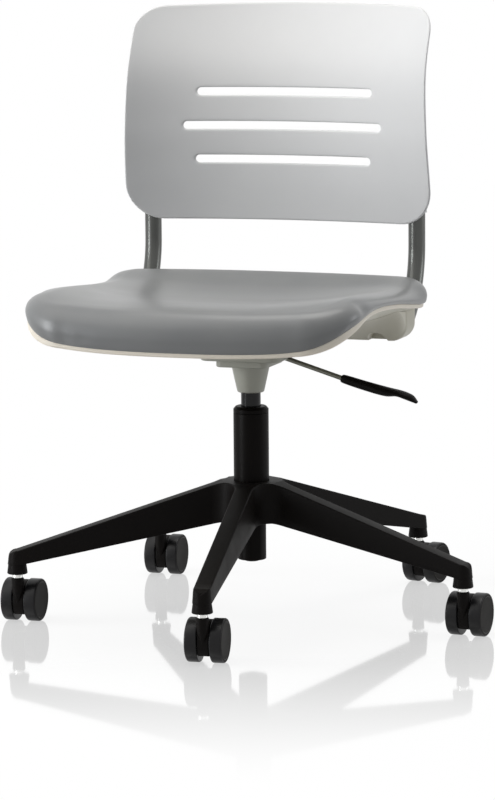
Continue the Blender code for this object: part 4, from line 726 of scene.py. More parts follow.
def seat_outline(count):
    """Points round the seat, seen from above, evenly spaced and starting at the rear centre."""
    rear_y = SEAT_REAR - SEAT_REAR_CORNER
    front_y = SEAT_FRONT + SEAT_FRONT_BOW + SEAT_FRONT_CORNER
    rear_corner = arc(SEAT_REAR_CORNER, 90.0, 0.0, 24, (SEAT_HALF_WIDTH - SEAT_REAR_CORNER, rear_y))
    front_corner = arc(SEAT_FRONT_CORNER, 0.0, -90.0, 24, (SEAT_HALF_WIDTH - SEAT_FRONT_CORNER, front_y))
    half = [Vector(p) for p in [(0.0, SEAT_REAR)] + rear_corner + front_corner]
    last_x = half[-1].x
    for i in range(1, 13):
        x = last_x * (1.0 - i / 12)
        half.append(Vector((x, SEAT_FRONT + SEAT_FRONT_BOW * (x / last_x) ** 2)))
    loop = half + [Vector((-p.x, p.y)) for p in reversed(half[1:-1])]
    lengths = [0.0]
    for a, b in zip(loop, loop[1:] + loop[:1]):
        lengths.append(lengths[-1] + (b - a).length)
    points = []
    k = 0
    for i in range(count):
        target = lengths[-1] * i / count
        while lengths[k + 1] < target:
            k += 1
        share = (target - lengths[k]) / (lengths[k + 1] - lengths[k])
        points.append(loop[k].lerp(loop[(k + 1) % len(loop)], share))
    return points


def near_corner(x, y, place, reach):
    """One at a corner of the seat, on either side, and fading away from it."""
    away = (Vector((abs(x), y)) - place).length / reach
    return exp(-away * away)


def inset_ring(outline, inset, shrink=1.0, tuck=0.0):
    """The outline moved inwards, further at the rear corners, then drawn towards the seat's centre."""
    centre = Vector((0.0, SEAT_CENTRE_Y))
    ring = []
    for i, p in enumerate(outline):
        along = (outline[(i + 1) % len(outline)] - outline[i - 1]).normalized()
        inward = Vector((along.y, -along.x))
        if inward.dot(centre - p) < 0.0:
            inward.negate()
        reach = inset + tuck * near_corner(p.x, p.y, RIM_TUCK_PLACE, RIM_TUCK_REACH)
        ring.append(centre + shrink * (p + reach * inward - centre))
    return ring


def seat_line(line, y):
    return SEAT_HEIGHT + SEAT_SWEEP * smooth_line(line, (SEAT_REAR - y) / SEAT_DEPTH)


def shell_height(x, y):
    low = seat_line(SHELL_CENTRE_LINE, y)
    side = seat_line(RIM_LINE, y)
    return low + (side - low) * min(abs(x) / SEAT_HALF_WIDTH, 1.0) ** SHELL_DISH_POWER


def rim_top(x, y):
    return shell_height(x, y) + RIM_FLARE * near_corner(x, y, RIM_FLARE_PLACE, RIM_FLARE_REACH)


def pad_height(x, y):
    low = seat_line(PAD_CENTRE_LINE, y)
    side = seat_line(PAD_CREST_LINE, y)
    return low + (side - low) * min(abs(x) / (PAD_CREST_SHARE * SEAT_HALF_WIDTH), 1.0) ** PAD_DISH_POWER


def level(ring, height, offset=0.0):
    lifted = [Vector((p.x, p.y, height(p.x, p.y) + offset)) for p in ring]
    if (lifted[0] - lifted[len(lifted) // 2]).length < 0.001:
        return lifted[:1]
    return lifted


FLAT_SHARES = (1.0, 0.92, 0.84, 0.76, 0.68, 0.60, 0.52, 0.44, 0.36, 0.28, 0.20, 0.12, 0.05, 0.0)


def cushion_form():
    """Crowned pad: a lip over the rim, full sides, a rounded border and a dished top."""
    outline = seat_outline(OUTLINE_POINTS)
    rings = [level(inset_ring(outline, PAD_ROUND, s), rim_top, PAD_GAP) for s in reversed(FLAT_SHARES)]
    rings += [level(inset_ring(outline, d * PAD_ROUND), rim_top, PAD_GAP) for d in (0.7, 0.4, 0.2, 0.1)]
    inner = inset_ring(outline, PAD_ROUND)
    for inset, share, droop in drawn_through(PAD_BORDER, 5):
        ring = []
        for p, q, o in zip(inset_ring(outline, inset * PAD_ROUND), inner, outline):
            base = rim_top(o.x, o.y) + PAD_GAP
            ring.append(Vector((p.x, p.y, base - droop + share * (pad_height(q.x, q.y) - base))))
        rings.append(ring)
    rings += [level(inset_ring(outline, PAD_ROUND, s), pad_height) for s in FLAT_SHARES[1:]]
    return loft(rings)


def seat_shell():
    """Moulded pan with a rounded cream rim, a dull underside and the four bosses it is fixed by."""
    outline = seat_outline(OUTLINE_POINTS)

    def ring(inset, shrink=1.0):
        return inset_ring(outline, inset, shrink, RIM_TUCK)

    rings = [level(ring(PAD_ROUND, s), rim_top) for s in reversed(FLAT_SHARES)]
    rings += [level(ring(d * PAD_ROUND), rim_top) for d in (0.7, 0.4, 0.2, 0.08)]
    edge = eased(((0.0012, 0.0, 0.0), (-RIM_BULGE, 0.0, 0.0009), (-RIM_BULGE, -RIM_HEIGHT, 0.0018),
                  (0.0050, -RIM_HEIGHT, 0.0018), (0.0080, -SHELL_THICKNESS, 0.0)), 5)
    heights = [(shell_height(o.x, o.y), rim_top(o.x, o.y)) for o in outline]
    for inset, down in edge:
        share = max(1.0 + down / RIM_HEIGHT, 0.0)
        rings.append([Vector((p.x, p.y, low + down + share * (high - low)))
                      for p, (low, high) in zip(ring(inset), heights)])
    under = OUTLINE_POINTS * (len(rings) - 2)
    rings += [level(ring(d * PAD_ROUND), shell_height, -SHELL_THICKNESS) for d in (0.4, 0.7)]
    rings += [level(ring(PAD_ROUND, s), shell_height, -SHELL_THICKNESS) for s in FLAT_SHARES]
    pan = loft(rings)
    for k, face in enumerate(pan.faces):
        face.material_index = int(k >= under)
    bosses = []
    for x in (-SHELL_BOSS_X, SHELL_BOSS_X):
        for y in (-SHELL_BOSS_Y, SHELL_BOSS_Y):
            top = shell_height(x, y) - 0.5 * SHELL_THICKNESS
            boss = turned(((0.0, PLATE_TOP + FIT_GAP), (SHELL_BOSS_RADIUS - 0.001, PLATE_TOP + FIT_GAP),
                           (SHELL_BOSS_RADIUS, PLATE_TOP + 0.0013), (SHELL_BOSS_RADIUS, top), (0.0, top)), 40)
            boss.transform(Matrix.Translation((x, y, 0.0)))
            for face in boss.faces:
                face.material_index = 1
            bosses.append(boss)
    return together([pan] + bosses)


def worked_in(item, kind, **settings):
    """Work one modifier into an object's mesh."""
    modifier = set_all(item.modifiers.new(kind.lower(), kind), **settings)
    old, mesh = item.data, evaluated(item)
    item.modifiers.remove(modifier)
    item.data = mesh
    bpy.data.meshes.remove(old)


def cloth_shift(item):
    """How far each point of the cover is pressed out by the foam inside it."""
    scene = bpy.context.scene
    start = [v.co.copy() for v in item.data.vertices]
    modifier = item.modifiers.new("cover", "CLOTH")
    set_all(modifier.settings, quality=6, mass=0.4, tension_stiffness=25.0, compression_stiffness=25.0,
            shear_stiffness=12.0, bending_stiffness=4.0, use_pressure=True, uniform_pressure_force=4.0)
    modifier.settings.effector_weights.gravity = 0.0
    set_all(modifier.point_cache, frame_start=1, frame_end=CLOTH_FRAMES)
    for step in range(1, CLOTH_FRAMES + 1):
        scene.frame_set(step)
    mesh = evaluated(item)
    scene.frame_set(1)
    item.modifiers.remove(modifier)
    shift = [v.co - p for v, p in zip(mesh.vertices, start)]
    bpy.data.meshes.remove(mesh)
    return shift


def spread_out(bm, shift, rounds):
    """Even a field of shifts out over neighbouring points."""
    near = [[edge.other_vert(v).index for edge in v.link_edges] for v in bm.verts]
    for _ in range(rounds):
        shift = [0.4 * s + 0.6 * sum((shift[k] for k in others), Vector()) / len(others)
                 for s, others in zip(shift, near)]
    return shift


CLOTH_VOXEL = 0.0060
CLOTH_FRAMES = 20
CLOTH_ROUNDS = 16
CLOTH_CAP = 0.0025
# Puckers of the cover: (place, reach, push), where the rim turns up and where the front corners are pulled round
PUCKERS = (((0.236, -0.226, 0.472), 0.015, -0.0034), ((0.226, -0.258, 0.466), 0.020, 0.0012),
           ((-0.236, -0.226, 0.472), 0.015, -0.0030), ((-0.156, -0.305, 0.430), 0.008, -0.0010),
           ((-0.130, -0.309, 0.432), 0.007, -0.0008))


def pressed_out(form):
    """How far the foam presses the cover out, as evened shifts at the points of a search tree."""
    item = linked("cover", form)
    worked_in(item, "REMESH", mode="VOXEL", voxel_size=CLOTH_VOXEL)
    shift = cloth_shift(item)
    bm = bmesh.new()
    bm.from_mesh(item.data)
    bm.verts.ensure_lookup_table()
    shift = spread_out(bm, shift, CLOTH_ROUNDS)
    tree = KDTree(len(shift))
    for v in bm.verts:
        tree.insert(v.co, v.index)
    tree.balance()
    bm.free()
    drop(item)
    scale = min(1.0, CLOTH_CAP / max(s.length for s in shift))
    return tree, [scale * s for s in shift]


def seat_cushion():
    """Upholstered pad: the pad's form, pressed out by its foam, with its puckers."""
    bm = cushion_form()
    copy = bpy.data.meshes.new("cover")
    bm.to_mesh(copy)
    tree, shift = pressed_out(copy)
    for v in bm.verts:
        near = tree.find_n(v.co, 6)
        weights = [1.0 / (0.001 + away) for place, k, away in near]
        push = sum((w * shift[k] for w, (place, k, away) in zip(weights, near)), Vector()) / sum(weights)
        v.co += push * above_rim(v.co)
    bm.normal_update()
    for v in bm.verts:
        for place, reach, push in PUCKERS:
            away = (v.co - Vector(place)).length / reach
            v.co += v.normal * push * exp(-away * away) * above_rim(v.co)
    item = piece("seat_cushion_cover", bm, ["vinyl_grey"], "seat", ["seat_cushion"], sharp=80.0)
    worked_in(item, "SUBSURF", levels=1, render_levels=1)


def above_rim(p):
    """None at the cover's underside, full a little above the rim."""
    return limited((p.z - rim_top(p.x, p.y) - 2.0 * PAD_GAP) / LIP_FADE)


# Recline housings and back tubes, on the +X side

def housing_top(x, y):
    return shell_height(x, y) - SHELL_THICKNESS - PAD_GAP


def drawn_in(distance, radius):
    """How far a rounded corner lies inside the square one, at a distance from the face it ends on."""
    short = max(radius - distance, 0.0)
    return radius - sqrt(max(radius * radius - short * short, 0.0))


def housing_ring(y, ease):
    """Section of the housing across the chair, drawn in at its rear outer corner."""
    outer = HOUSING_OUTER - max(drawn_in(HOUSING_REAR - y, HOUSING_REAR_ROUND), 0.4 * ease)
    inner = HOUSING_INNER + ease
    bottom = HOUSING_BOTTOM + ease
    turn_x = outer - HOUSING_CORNER
    ring = [Vector((inner + (turn_x - inner) * i / 8, y, bottom)) for i in range(8)]
    corner = arc(HOUSING_CORNER, -90.0, 0.0, 18, (turn_x, bottom + HOUSING_CORNER))
    ring += [Vector((x, y, z)) for x, z in corner]
    for i in range(15):
        x = outer + (inner - outer) * i / 14
        ring.append(Vector((x, y, housing_top(x, y))))
    return ring


def housing_body():
    """Housing without its bores: a scoop from the pan down to the nose, the middle and an eased rear."""
    nose = []
    for k in range(5, 11):
        turn = radians(9.0 * k)
        nose.append(housing_ring(HOUSING_FRONT + HOUSING_NOSE_RUN * (1.0 - cos(turn)),
                                 HOUSING_NOSE_EASE * (1.0 - sin(turn))))
    rings = []
    join = nose[0][0].y
    widest = (HOUSING_SCOOP_OUTER - HOUSING_INNER) / (HOUSING_OUTER - HOUSING_INNER)
    for k in range(18):
        share = k / 18
        y = join - HOUSING_SCOOP * (1.0 - share)
        deep = HOUSING_SCOOP_THIN + (1.0 - HOUSING_SCOOP_THIN) * share * share
        wide = share + (1.0 - share) * widest
        ring = []
        for p in nose[0]:
            x = HOUSING_INNER + wide * (p.x - HOUSING_INNER)
            top = housing_top(x, y) + 0.9 * PAD_GAP * (1.0 - share)
            ring.append(Vector((x, y, top - deep * (housing_top(p.x, join) - p.z))))
        rings.append(ring)
    start = HOUSING_FRONT + HOUSING_NOSE_RUN
    end = HOUSING_REAR - HOUSING_REAR_EASE
    rings += nose + [housing_ring(start + (end - start) * i / 16, 0.0) for i in range(1, 16)]
    for k in range(9):
        turn = radians(11.25 * k)
        rings.append(housing_ring(end + HOUSING_REAR_EASE * sin(turn), HOUSING_REAR_EASE * (1.0 - cos(turn))))
    return loft(rings)


def pivot_housing():
    """Moulded housing: front scooped up to the pan, full outer corner, arched screw recess, slot for the tube."""
    arch = [(-RECESS_HALF_WIDTH, -0.004)]
    arch += [(RECESS_HALF_WIDTH * u, RECESS_HEIGHT * v) for u, v in arc(1.0, 180.0, 0.0, 24)]
    arch.append((RECESS_HALF_WIDTH, -0.004))
    recess = loft([[Vector((RECESS_X + x, y, HOUSING_BOTTOM + z)) for x, z in arch]
                   for y in (HOUSING_FRONT - 0.03, HOUSING_FRONT + RECESS_DEPTH)])
    section = ((-SLOT_SIDE, -SLOT_DEPTH), (0.4 * SLOT_SIDE, -SLOT_DEPTH), (SLOT_SIDE, -0.25 * SLOT_DEPTH),
               (SLOT_SIDE, 0.1), (-SLOT_SIDE, 0.1))
    slot = loft([[Vector((TUBE_X + x, y, HINGE_Z + z)) for x, z in section]
                 for y in (HINGE_Y - SLOT_DEPTH, HOUSING_REAR + 0.01)])
    cavity = rod_between(TORSION_BUSH_RADIUS + FIT_GAP, TORSION_BUSH_INNER - FIT_GAP, TUBE_X)
    pin_bore = rod_between(HINGE_PIN_RADIUS + FIT_GAP, PIN_START, TUBE_X)
    for solid in (cavity, pin_bore):
        along_x(solid, HINGE_Y, HINGE_Z)
    rail_rear = HINGE_Y - TORSION_BUSH_RADIUS - RAIL_CLEARANCE + FIT_GAP
    rail = block((HOUSING_INNER - 0.01, rail_rear - RAIL_DEPTH - 2 * FIT_GAP, PLATE_TOP),
                 (RAIL_END + FIT_GAP, rail_rear, PLATE_TOP + RAIL_HEIGHT + 2 * FIT_GAP))
    screw = rod_between(SCREW_RADIUS, HOUSING_BOTTOM + 0.5 * RECESS_HEIGHT,
                        HOUSING_BOTTOM + RECESS_HEIGHT + SCREW_REACH)
    screw.transform(Matrix.Translation((RECESS_X, HOUSING_FRONT + 0.5 * RECESS_DEPTH, 0.0)))
    return carved(housing_body(), [("DIFFERENCE", tool) for tool in (recess, slot, cavity, pin_bore, rail, screw)])


def back_tube():
    """Bent upright with its hinge hub."""
    points = []
    steps = 30
    for i in range(steps + 1):
        turn = (TUBE_BEND - TUBE_BEND_TRIM) * (1.0 - i / steps)
        points.append(Vector((TUBE_X, TUBE_Y - TUBE_BEND_RADIUS * (1.0 - cos(turn)),
                              TUBE_BEND_TOP - TUBE_BEND_RADIUS * sin(turn))))
    points += [Vector((TUBE_X, TUBE_Y, z)) for z in (0.55, 0.60, TUBE_TOP)]
    bar = bar_along(points, TUBE_RADIUS, 40, FINISHES["tube_silver"])
    inner = TUBE_X - SLOT_SIDE + RUN_GAP
    outer = TUBE_X + HINGE_HUB_OUTER
    bore = HINGE_PIN_RADIUS + FIT_GAP
    hub = turned(((bore, inner), (HINGE_HUB_RADIUS, inner), (HINGE_HUB_RADIUS, outer - 0.55 * HINGE_HUB_OUTER),
                  (0.75 * HINGE_HUB_RADIUS, outer), (bore, outer)), 40, closed=True)
    return carved(bar, [("UNION", along_x(hub, HINGE_Y, HINGE_Z))])


# Back shell

def back_share(z):
    return (z - BACK_BOTTOM) / BACK_HEIGHT


def back_curve(z):
    return smooth_line(BACK_CURVE_LINE, back_share(z)) / BACK_BEND_RADIUS


def back_half_width(z):
    return BACK_HALF_WIDTH * smooth_line(BACK_WIDTH_LINE, back_share(z))


def back_face(x, z):
    curve = back_curve(z)
    middle = TUBE_Y + BACK_RAKE * smooth_line(BACK_DEPTH_LINE, back_share(z))
    return middle - 0.5 * curve * x * x * (1.0 + 0.25 * (curve * x) ** 2)


def on_back(x, z, depth):
    """Point of the shell at a depth behind its front face."""
    return Vector((x, back_face(x, z) + depth * (1.0 + 0.5 * (back_curve(z) * x) ** 2), z))


BACK_COLUMNS = 92
BACK_ROWS = 46
CORNER_ROWS = 12


def back_grid():
    """Rows of flat (x, z) points over the shell, kept inside its rounded edge."""
    low = BACK_BOTTOM + BACK_BOTTOM_CORNER
    high = BACK_TOP - BACK_TOP_CORNER
    rows = []

    def add_row(z, drawn=0.0):
        rows.append((z, back_half_width(z) - BACK_EDGE - drawn))

    corner = BACK_BOTTOM_CORNER - BACK_EDGE
    for u, v in arc(corner, 90.0, 0.0, CORNER_ROWS):
        add_row(low - v, corner - u)
    for i in range(1, BACK_ROWS):
        add_row(low + (high - low) * i / BACK_ROWS)
    corner = BACK_TOP_CORNER - BACK_EDGE
    for u, v in arc(corner, 0.0, 90.0, CORNER_ROWS):
        add_row(high + v, corner - u)
    grid = []
    for z, half in rows:
        row = []
        for i in range(BACK_COLUMNS + 1):
            x = half * (2.0 * i / BACK_COLUMNS - 1.0)
            lift = -BACK_TOP_DROP * (x / back_half_width(BACK_TOP)) ** 2 * back_share(z) ** 3
            row.append(Vector((x, z + lift)))
        grid.append(row)
    return grid


def slot_edge_point(p, z, half, offset):
    """Point of a round-ended slot's edge, grown by an offset, that faces a point outside it."""
    radius = 0.5 * SLOT_HEIGHT
    reach = half - radius
    if abs(p.x) <= reach:
        return Vector((p.x, z + copysign(radius + offset, p.y - z)))
    end = Vector((copysign(reach, p.x), z))
    return end + (p - end).normalized() * (radius + offset)


def edge_rows(radius):
    """(outset, depth) rows round an edge, from the front face to the rear face."""
    front = [(v, radius - u) for u, v in arc(radius, 0.0, 90.0, 6)[1:]]
    rear = [(out, BACK_THICKNESS - depth) for out, depth in reversed(front)]
    return front + rear + [(0.0, BACK_THICKNESS)]


def back_shell():
    """Thin shell curved both ways with eased edges, three round-ended slots and a sleeve for each tube."""
    grid = back_grid()
    holes = []
    for z, half in SLOTS:
        middle = BACK_COLUMNS // 2
        reach = 0.5 * SLOT_HEIGHT + SLOT_MARGIN
        j0 = max(j for j in range(len(grid)) if grid[j][middle].y <= z - reach)
        j1 = min(j for j in range(len(grid)) if grid[j][middle].y >= z + reach)
        i1 = min(i for i in range(BACK_COLUMNS + 1) if grid[j0][i].x >= half + SLOT_MARGIN)
        holes.append((j0, j1, BACK_COLUMNS - i1, i1, z, half))

    def inside_hole(i, j):
        return any(j0 <= j < j1 and i0 <= i < i1 for j0, j1, i0, i1, z, half in holes)

    def needed(i, j):
        return not any(j0 < j < j1 and i0 < i < i1 for j0, j1, i0, i1, z, half in holes)

    bm = bmesh.new()
    faces = []
    for depth in (0.0, BACK_THICKNESS):
        faces.append([[bm.verts.new(on_back(p.x, p.y, depth)) if needed(i, j) else None for i, p in enumerate(row)]
                      for j, row in enumerate(grid)])
    front, rear = faces
    for j in range(len(grid) - 1):
        for i in range(BACK_COLUMNS):
            if inside_hole(i, j):
                continue
            bm.faces.new((front[j][i], front[j][i + 1], front[j + 1][i + 1], front[j + 1][i]))
            bm.faces.new((rear[j][i], rear[j + 1][i], rear[j + 1][i + 1], rear[j][i + 1]))

    def stitched(loop, rows_of_points):
        """Bands of faces from the front sheet's loop, through rows of points, to the rear sheet's loop."""
        rings = [[front[j][i] for i, j in loop]]
        rings += [[bm.verts.new(p) for p in row] for row in rows_of_points]
        rings.append([rear[j][i] for i, j in loop])
        for low, high in zip(rings, rings[1:]):
            bridge(bm, low, high)

    last_j = len(grid) - 1
    rim = ([(i, 0) for i in range(BACK_COLUMNS)] + [(BACK_COLUMNS, j) for j in range(last_j)]
           + [(i, last_j) for i in range(BACK_COLUMNS, 0, -1)] + [(0, j) for j in range(last_j, 0, -1)])
    flat = [grid[j][i] for i, j in rim]
    outward = []
    for k, p in enumerate(flat):
        along = (flat[(k + 1) % len(flat)] - flat[k - 1]).normalized()
        outward.append(Vector((along.y, -along.x)))
    stitched(rim, [[on_back(*(p + out * n), depth) for p, n in zip(flat, outward)]
                   for out, depth in edge_rows(BACK_EDGE)[:-1]])
    for j0, j1, i0, i1, z, half in holes:
        loop = ([(i, j0) for i in range(i0, i1)] + [(i1, j) for j in range(j0, j1)]
                + [(i, j1) for i in range(i1, i0, -1)] + [(i0, j) for j in range(j1, j0, -1)])
        flat = [grid[j][i] for i, j in loop]
        rows = [[on_back(*slot_edge_point(p, z, half, SLOT_EDGE), 0.0) for p in flat]]
        rows += [[on_back(*slot_edge_point(p, z, half, SLOT_EDGE - out), depth) for p in flat]
                 for out, depth in edge_rows(SLOT_EDGE)]
        stitched(loop, rows)
    closed_up(bm, 0.000002)
    sleeves = together([sleeve(sign * TUBE_X) for sign in (-1, 1)])
    bores = []
    for sign in (-1, 1):
        bore = rod_between(TUBE_RADIUS + FIT_GAP, BACK_BOTTOM, TUBE_TOP + FIT_GAP, 40)
        bore.transform(Matrix.Translation((sign * TUBE_X, TUBE_Y, 0.0)))
        bores.append(bore)
    return carved(bm, [("UNION", sleeves), ("DIFFERENCE", together(bores))])


def sleeve(middle):
    """D-section sleeve whose flat runs forward into the shell, eased at its top."""
    outer = TUBE_RADIUS + FIT_GAP + SLEEVE_WALL
    ease_z = TUBE_TOP + FIT_GAP + SLEEVE_CAP - SLEEVE_EASE
    rows = [(SLEEVE_BOTTOM + (ease_z - SLEEVE_BOTTOM) * i / 12, outer) for i in range(13)]
    for turn in (30, 60, 85):
        rows.append((ease_z + SLEEVE_EASE * sin(radians(turn)), outer - SLEEVE_EASE * (1.0 - cos(radians(turn)))))
    sunk = 0.6 * BACK_THICKNESS
    rings = []
    for z, reach in rows:
        ring = [Vector((x, back_face(x, z) + sunk, z)) for x in (middle, middle + reach)]
        ring += [Vector((x, y, z)) for x, y in arc(reach, 0.0, 180.0, 20, (middle, TUBE_Y))]
        ring.append(Vector((middle - reach, back_face(middle - reach, z) + sunk, z)))
        rings.append(ring)
    return loft(rings)


# Column, gas lift, socket and lever

def column_radius_at(z):
    share = limited((COLUMN_TAPER_TOP - z) / (COLUMN_TAPER_TOP - HUB_BOTTOM))
    return COLUMN_RADIUS + share * (COLUMN_FOOT_RADIUS - COLUMN_RADIUS)


def column_tube():
    floor = COLUMN_BOTTOM + COLUMN_FLOOR
    inner = COLUMN_RADIUS - COLUMN_WALL
    foot_inner = COLUMN_FOOT_RADIUS - COLUMN_WALL
    rod = ROD_RADIUS + FIT_GAP
    line = eased(((inner, COLUMN_TAPER_TOP, 0.0), (inner, COLUMN_TOP, 0.0005), (COLUMN_RADIUS, COLUMN_TOP, 0.0006),
                  (COLUMN_RADIUS, COLUMN_TAPER_TOP, 0.004), (COLUMN_FOOT_RADIUS, HUB_BOTTOM, 0.004),
                  (COLUMN_FOOT_RADIUS, COLUMN_BOTTOM, 0.0012), (rod, COLUMN_BOTTOM, 0.0), (rod, floor, 0.0),
                  (foot_inner, floor, 0.0), (foot_inner, HUB_BOTTOM, 0.0)), 4)
    return turned(line, 96, closed=True)


def column_bush():
    bore = CYLINDER_RADIUS + FIT_GAP
    sleeve_radius = COLUMN_RADIUS - COLUMN_WALL - FIT_GAP
    seat = COLUMN_TOP + FIT_GAP
    line = eased(((bore, seat - BUSH_LENGTH, 0.0), (bore, seat + BUSH_CAP, 0.0006),
                  (COLUMN_RADIUS - BUSH_TAPER, seat + BUSH_CAP, 0.0016),
                  (COLUMN_RADIUS, seat + 0.55 * BUSH_CAP, 0.0016), (COLUMN_RADIUS, seat, 0.0005),
                  (sleeve_radius, seat, 0.0), (sleeve_radius, seat - BUSH_LENGTH, 0.0)), 5)
    return turned(line, 96, closed=True)


def gas_cylinder():
    rod = ROD_RADIUS + FIT_GAP
    line = eased(((0.0, NOSE_TOP, 0.0), (CYLINDER_NOSE_RADIUS, NOSE_TOP, 0.0012),
                  (CYLINDER_RADIUS, CONE_BOTTOM, 0.004), (CYLINDER_RADIUS, CYLINDER_BOTTOM, 0.0012),
                  (rod, CYLINDER_BOTTOM, 0.0), (rod, CYLINDER_HOLLOW_TOP, 0.0), (0.0, CYLINDER_HOLLOW_TOP, 0.0)), 5)
    well = rod_between(BUTTON_WELL_RADIUS, NOSE_TOP - BUTTON_WELL_DEPTH, NOSE_TOP + 0.01)
    return carved(turned(line, 72), [("DIFFERENCE", well)])


def column_socket():
    """Cast socket: flange, stepped pad and cone with soft edges, the tapered bore and the lever's well."""
    flange = soft_slab((-FLANGE_HALF_WIDTH, FLANGE_FRONT, FLANGE_BOTTOM),
                       (FLANGE_HALF_WIDTH, FLANGE_REAR, PLATE_BOTTOM - FIT_GAP), FLANGE_CORNER,
                       top_edge=0.0008, bottom_edge=0.0030)
    pad = soft_slab((-PAD_HALF_WIDTH, PAD_FRONT, PAD_BOTTOM), (PAD_HALF_WIDTH, PAD_REAR, FLANGE_BOTTOM + 0.004),
                    PAD_CORNER, top_edge=0.0004, bottom_edge=0.0020)
    root = PAD_BOTTOM + 0.002
    cone = turned(eased(((0.0, CONE_BOTTOM, 0.0), (CONE_BOTTOM_RADIUS, CONE_BOTTOM, 0.0030),
                         (CONE_TOP_RADIUS - 0.0008, CONE_TOP - 0.001, 0.0030), (CONE_TOP_RADIUS + 0.004, root, 0.0),
                         (0.0, root, 0.0)), 8), 96)
    wide, narrow = CYLINDER_RADIUS + FIT_GAP, CYLINDER_NOSE_RADIUS + FIT_GAP
    bore = turned(((0.0, CONE_BOTTOM - 0.01), (wide, CONE_BOTTOM - 0.01), (wide, CONE_BOTTOM), (narrow, NOSE_TOP),
                   (narrow, NOSE_TOP + 0.006), (0.0, NOSE_TOP + 0.006)), 72)
    well, mouth = (block((left, -CAVITY_HALF_WIDTH, bottom), (CAVITY_END, CAVITY_HALF_WIDTH, PLATE_TOP))
                   for left, bottom in ((CAVITY_START, NOSE_TOP + 0.001), (MOUTH_START, FLANGE_BOTTOM - 0.009)))
    return carved(flange, [("UNION", pad), ("UNION", cone), ("DIFFERENCE", bore), ("DIFFERENCE", well),
                           ("DIFFERENCE", mouth)])


LEVER_FRAME = Matrix.Translation((LEVER_PIVOT_X, 0.0, LEVER_PIVOT_Z)) @ Matrix.Rotation(LEVER_SLOPE, 4, "Y")


def lever_rod():
    """Straight rod with the cross boss that turns on the lever pin."""
    steps = 10
    points = [Vector((-LEVER_INNER_REACH + (LEVER_OUTER_REACH + LEVER_INNER_REACH) * k / steps, 0.0, 0.0))
              for k in range(steps + 1)]
    rod = bar_along(points, LEVER_ROD_RADIUS, 32, FINISHES["rod_grey_green"])
    boss = along_y(drum(LEVER_BOSS_RADIUS, CAVITY_HALF_WIDTH - RUN_GAP, 0.0008, 40))
    bore = along_y(rod_between(LEVER_PIN_RADIUS + FIT_GAP, -0.02, 0.02, 24))
    bm = carved(rod, [("UNION", boss), ("DIFFERENCE", bore)])
    bm.transform(LEVER_FRAME)
    return bm


def lever_grip():
    """Moulded paddle: round at the rod, flattening towards a turned-down tip with an eased end."""
    turns = [2 * pi * k / 40 for k in range(40)]

    def oval(x, half_width, half_height, sink):
        return [Vector((x, half_width * cos(t), half_height * sin(t) - sink)) for t in turns]

    sections = drawn_through(GRIP_SECTIONS, 8)
    rings = [oval(GRIP_START + share * GRIP_LENGTH, *section) for share, *section in sections]
    half_width, half_height, sink = sections[-1][1:]
    for turn in (30, 60, 80):
        draw = cos(radians(turn))
        rings.append(oval(GRIP_START + GRIP_LENGTH + GRIP_TIP_EASE * sin(radians(turn)), draw * half_width,
                          draw * half_height, sink))
    bore = rod_between(LEVER_ROD_RADIUS + FIT_GAP, GRIP_START - 0.01, LEVER_OUTER_REACH + FIT_GAP)
    bm = carved(loft(rings), [("DIFFERENCE", along_x(bore, 0.0, 0.0))])
    bm.transform(LEVER_FRAME)
    return bm


# Star base

def leg_side():
    """Half of one leg's outline from the hub valley to the tip, along +X, with its outward directions."""
    valley = pi / LEG_COUNT
    bend = (HUB_VALLEY * sin(valley) - LEG_TOP_HALF) / (1.0 - sin(valley))
    centre = Vector(((HUB_VALLEY + bend) * cos(valley), (HUB_VALLEY + bend) * sin(valley)))
    points = []
    bends = 18
    for i in range(bends + 1):
        turn = valley + pi + (radians(270.0) - valley - pi) * i / bends
        spoke = Vector((cos(turn), sin(turn)))
        points.append((centre + bend * spoke, -spoke))
    start = points[-1][0].x
    runs = 22
    for i in range(1, runs + 1):
        share = i / runs
        points.append((Vector((start + share * (STEM_CIRCLE - start),
                               LEG_TOP_HALF + share * (LEG_TIP_HALF - LEG_TOP_HALF))), Vector((0.0, 1.0))))
    for spoke in map(Vector, arc(1.0, 90.0, 0.0, 16)[1:]):
        points.append((Vector((STEM_CIRCLE, 0.0)) + LEG_TIP_HALF * spoke, spoke))
    return points


def leg_share(r):
    return limited((r - HUB_VALLEY) / (STEM_CIRCLE - HUB_VALLEY))


def leg_top(r):
    past = limited((r - STEM_CIRCLE) / LEG_TIP_HALF)
    return HUB_TOP + leg_share(r) * (LEG_TIP_TOP - HUB_TOP) - LEG_TIP_ROLL * (1.0 - sqrt(1.0 - past * past))


def leg_flare(x):
    return LEG_FLARE + min(x / STEM_CIRCLE, 1.0) * (LEG_TIP_FLARE - LEG_FLARE)


def leg_bottom(r):
    return HUB_BOTTOM + leg_share(r) * (LEG_TIP_BOTTOM - HUB_BOTTOM)


def leg_rows(flare):
    """(outset, share of the side's height, offset) rows down a leg's side, eased at top and foot."""
    rows = [(v - LEG_EDGE, 1.0, u - LEG_EDGE) for u, v in arc(LEG_EDGE, 0.0, 90.0, 6)]
    rows += [(flare * (1.0 - share), share, 0.0) for share in (0.75, 0.5, 0.25)]
    rows += [(flare - LEG_FOOT_EDGE + u, 0.0, LEG_FOOT_EDGE - v) for u, v in arc(LEG_FOOT_EDGE, 0.0, 90.0, 4)]
    return rows


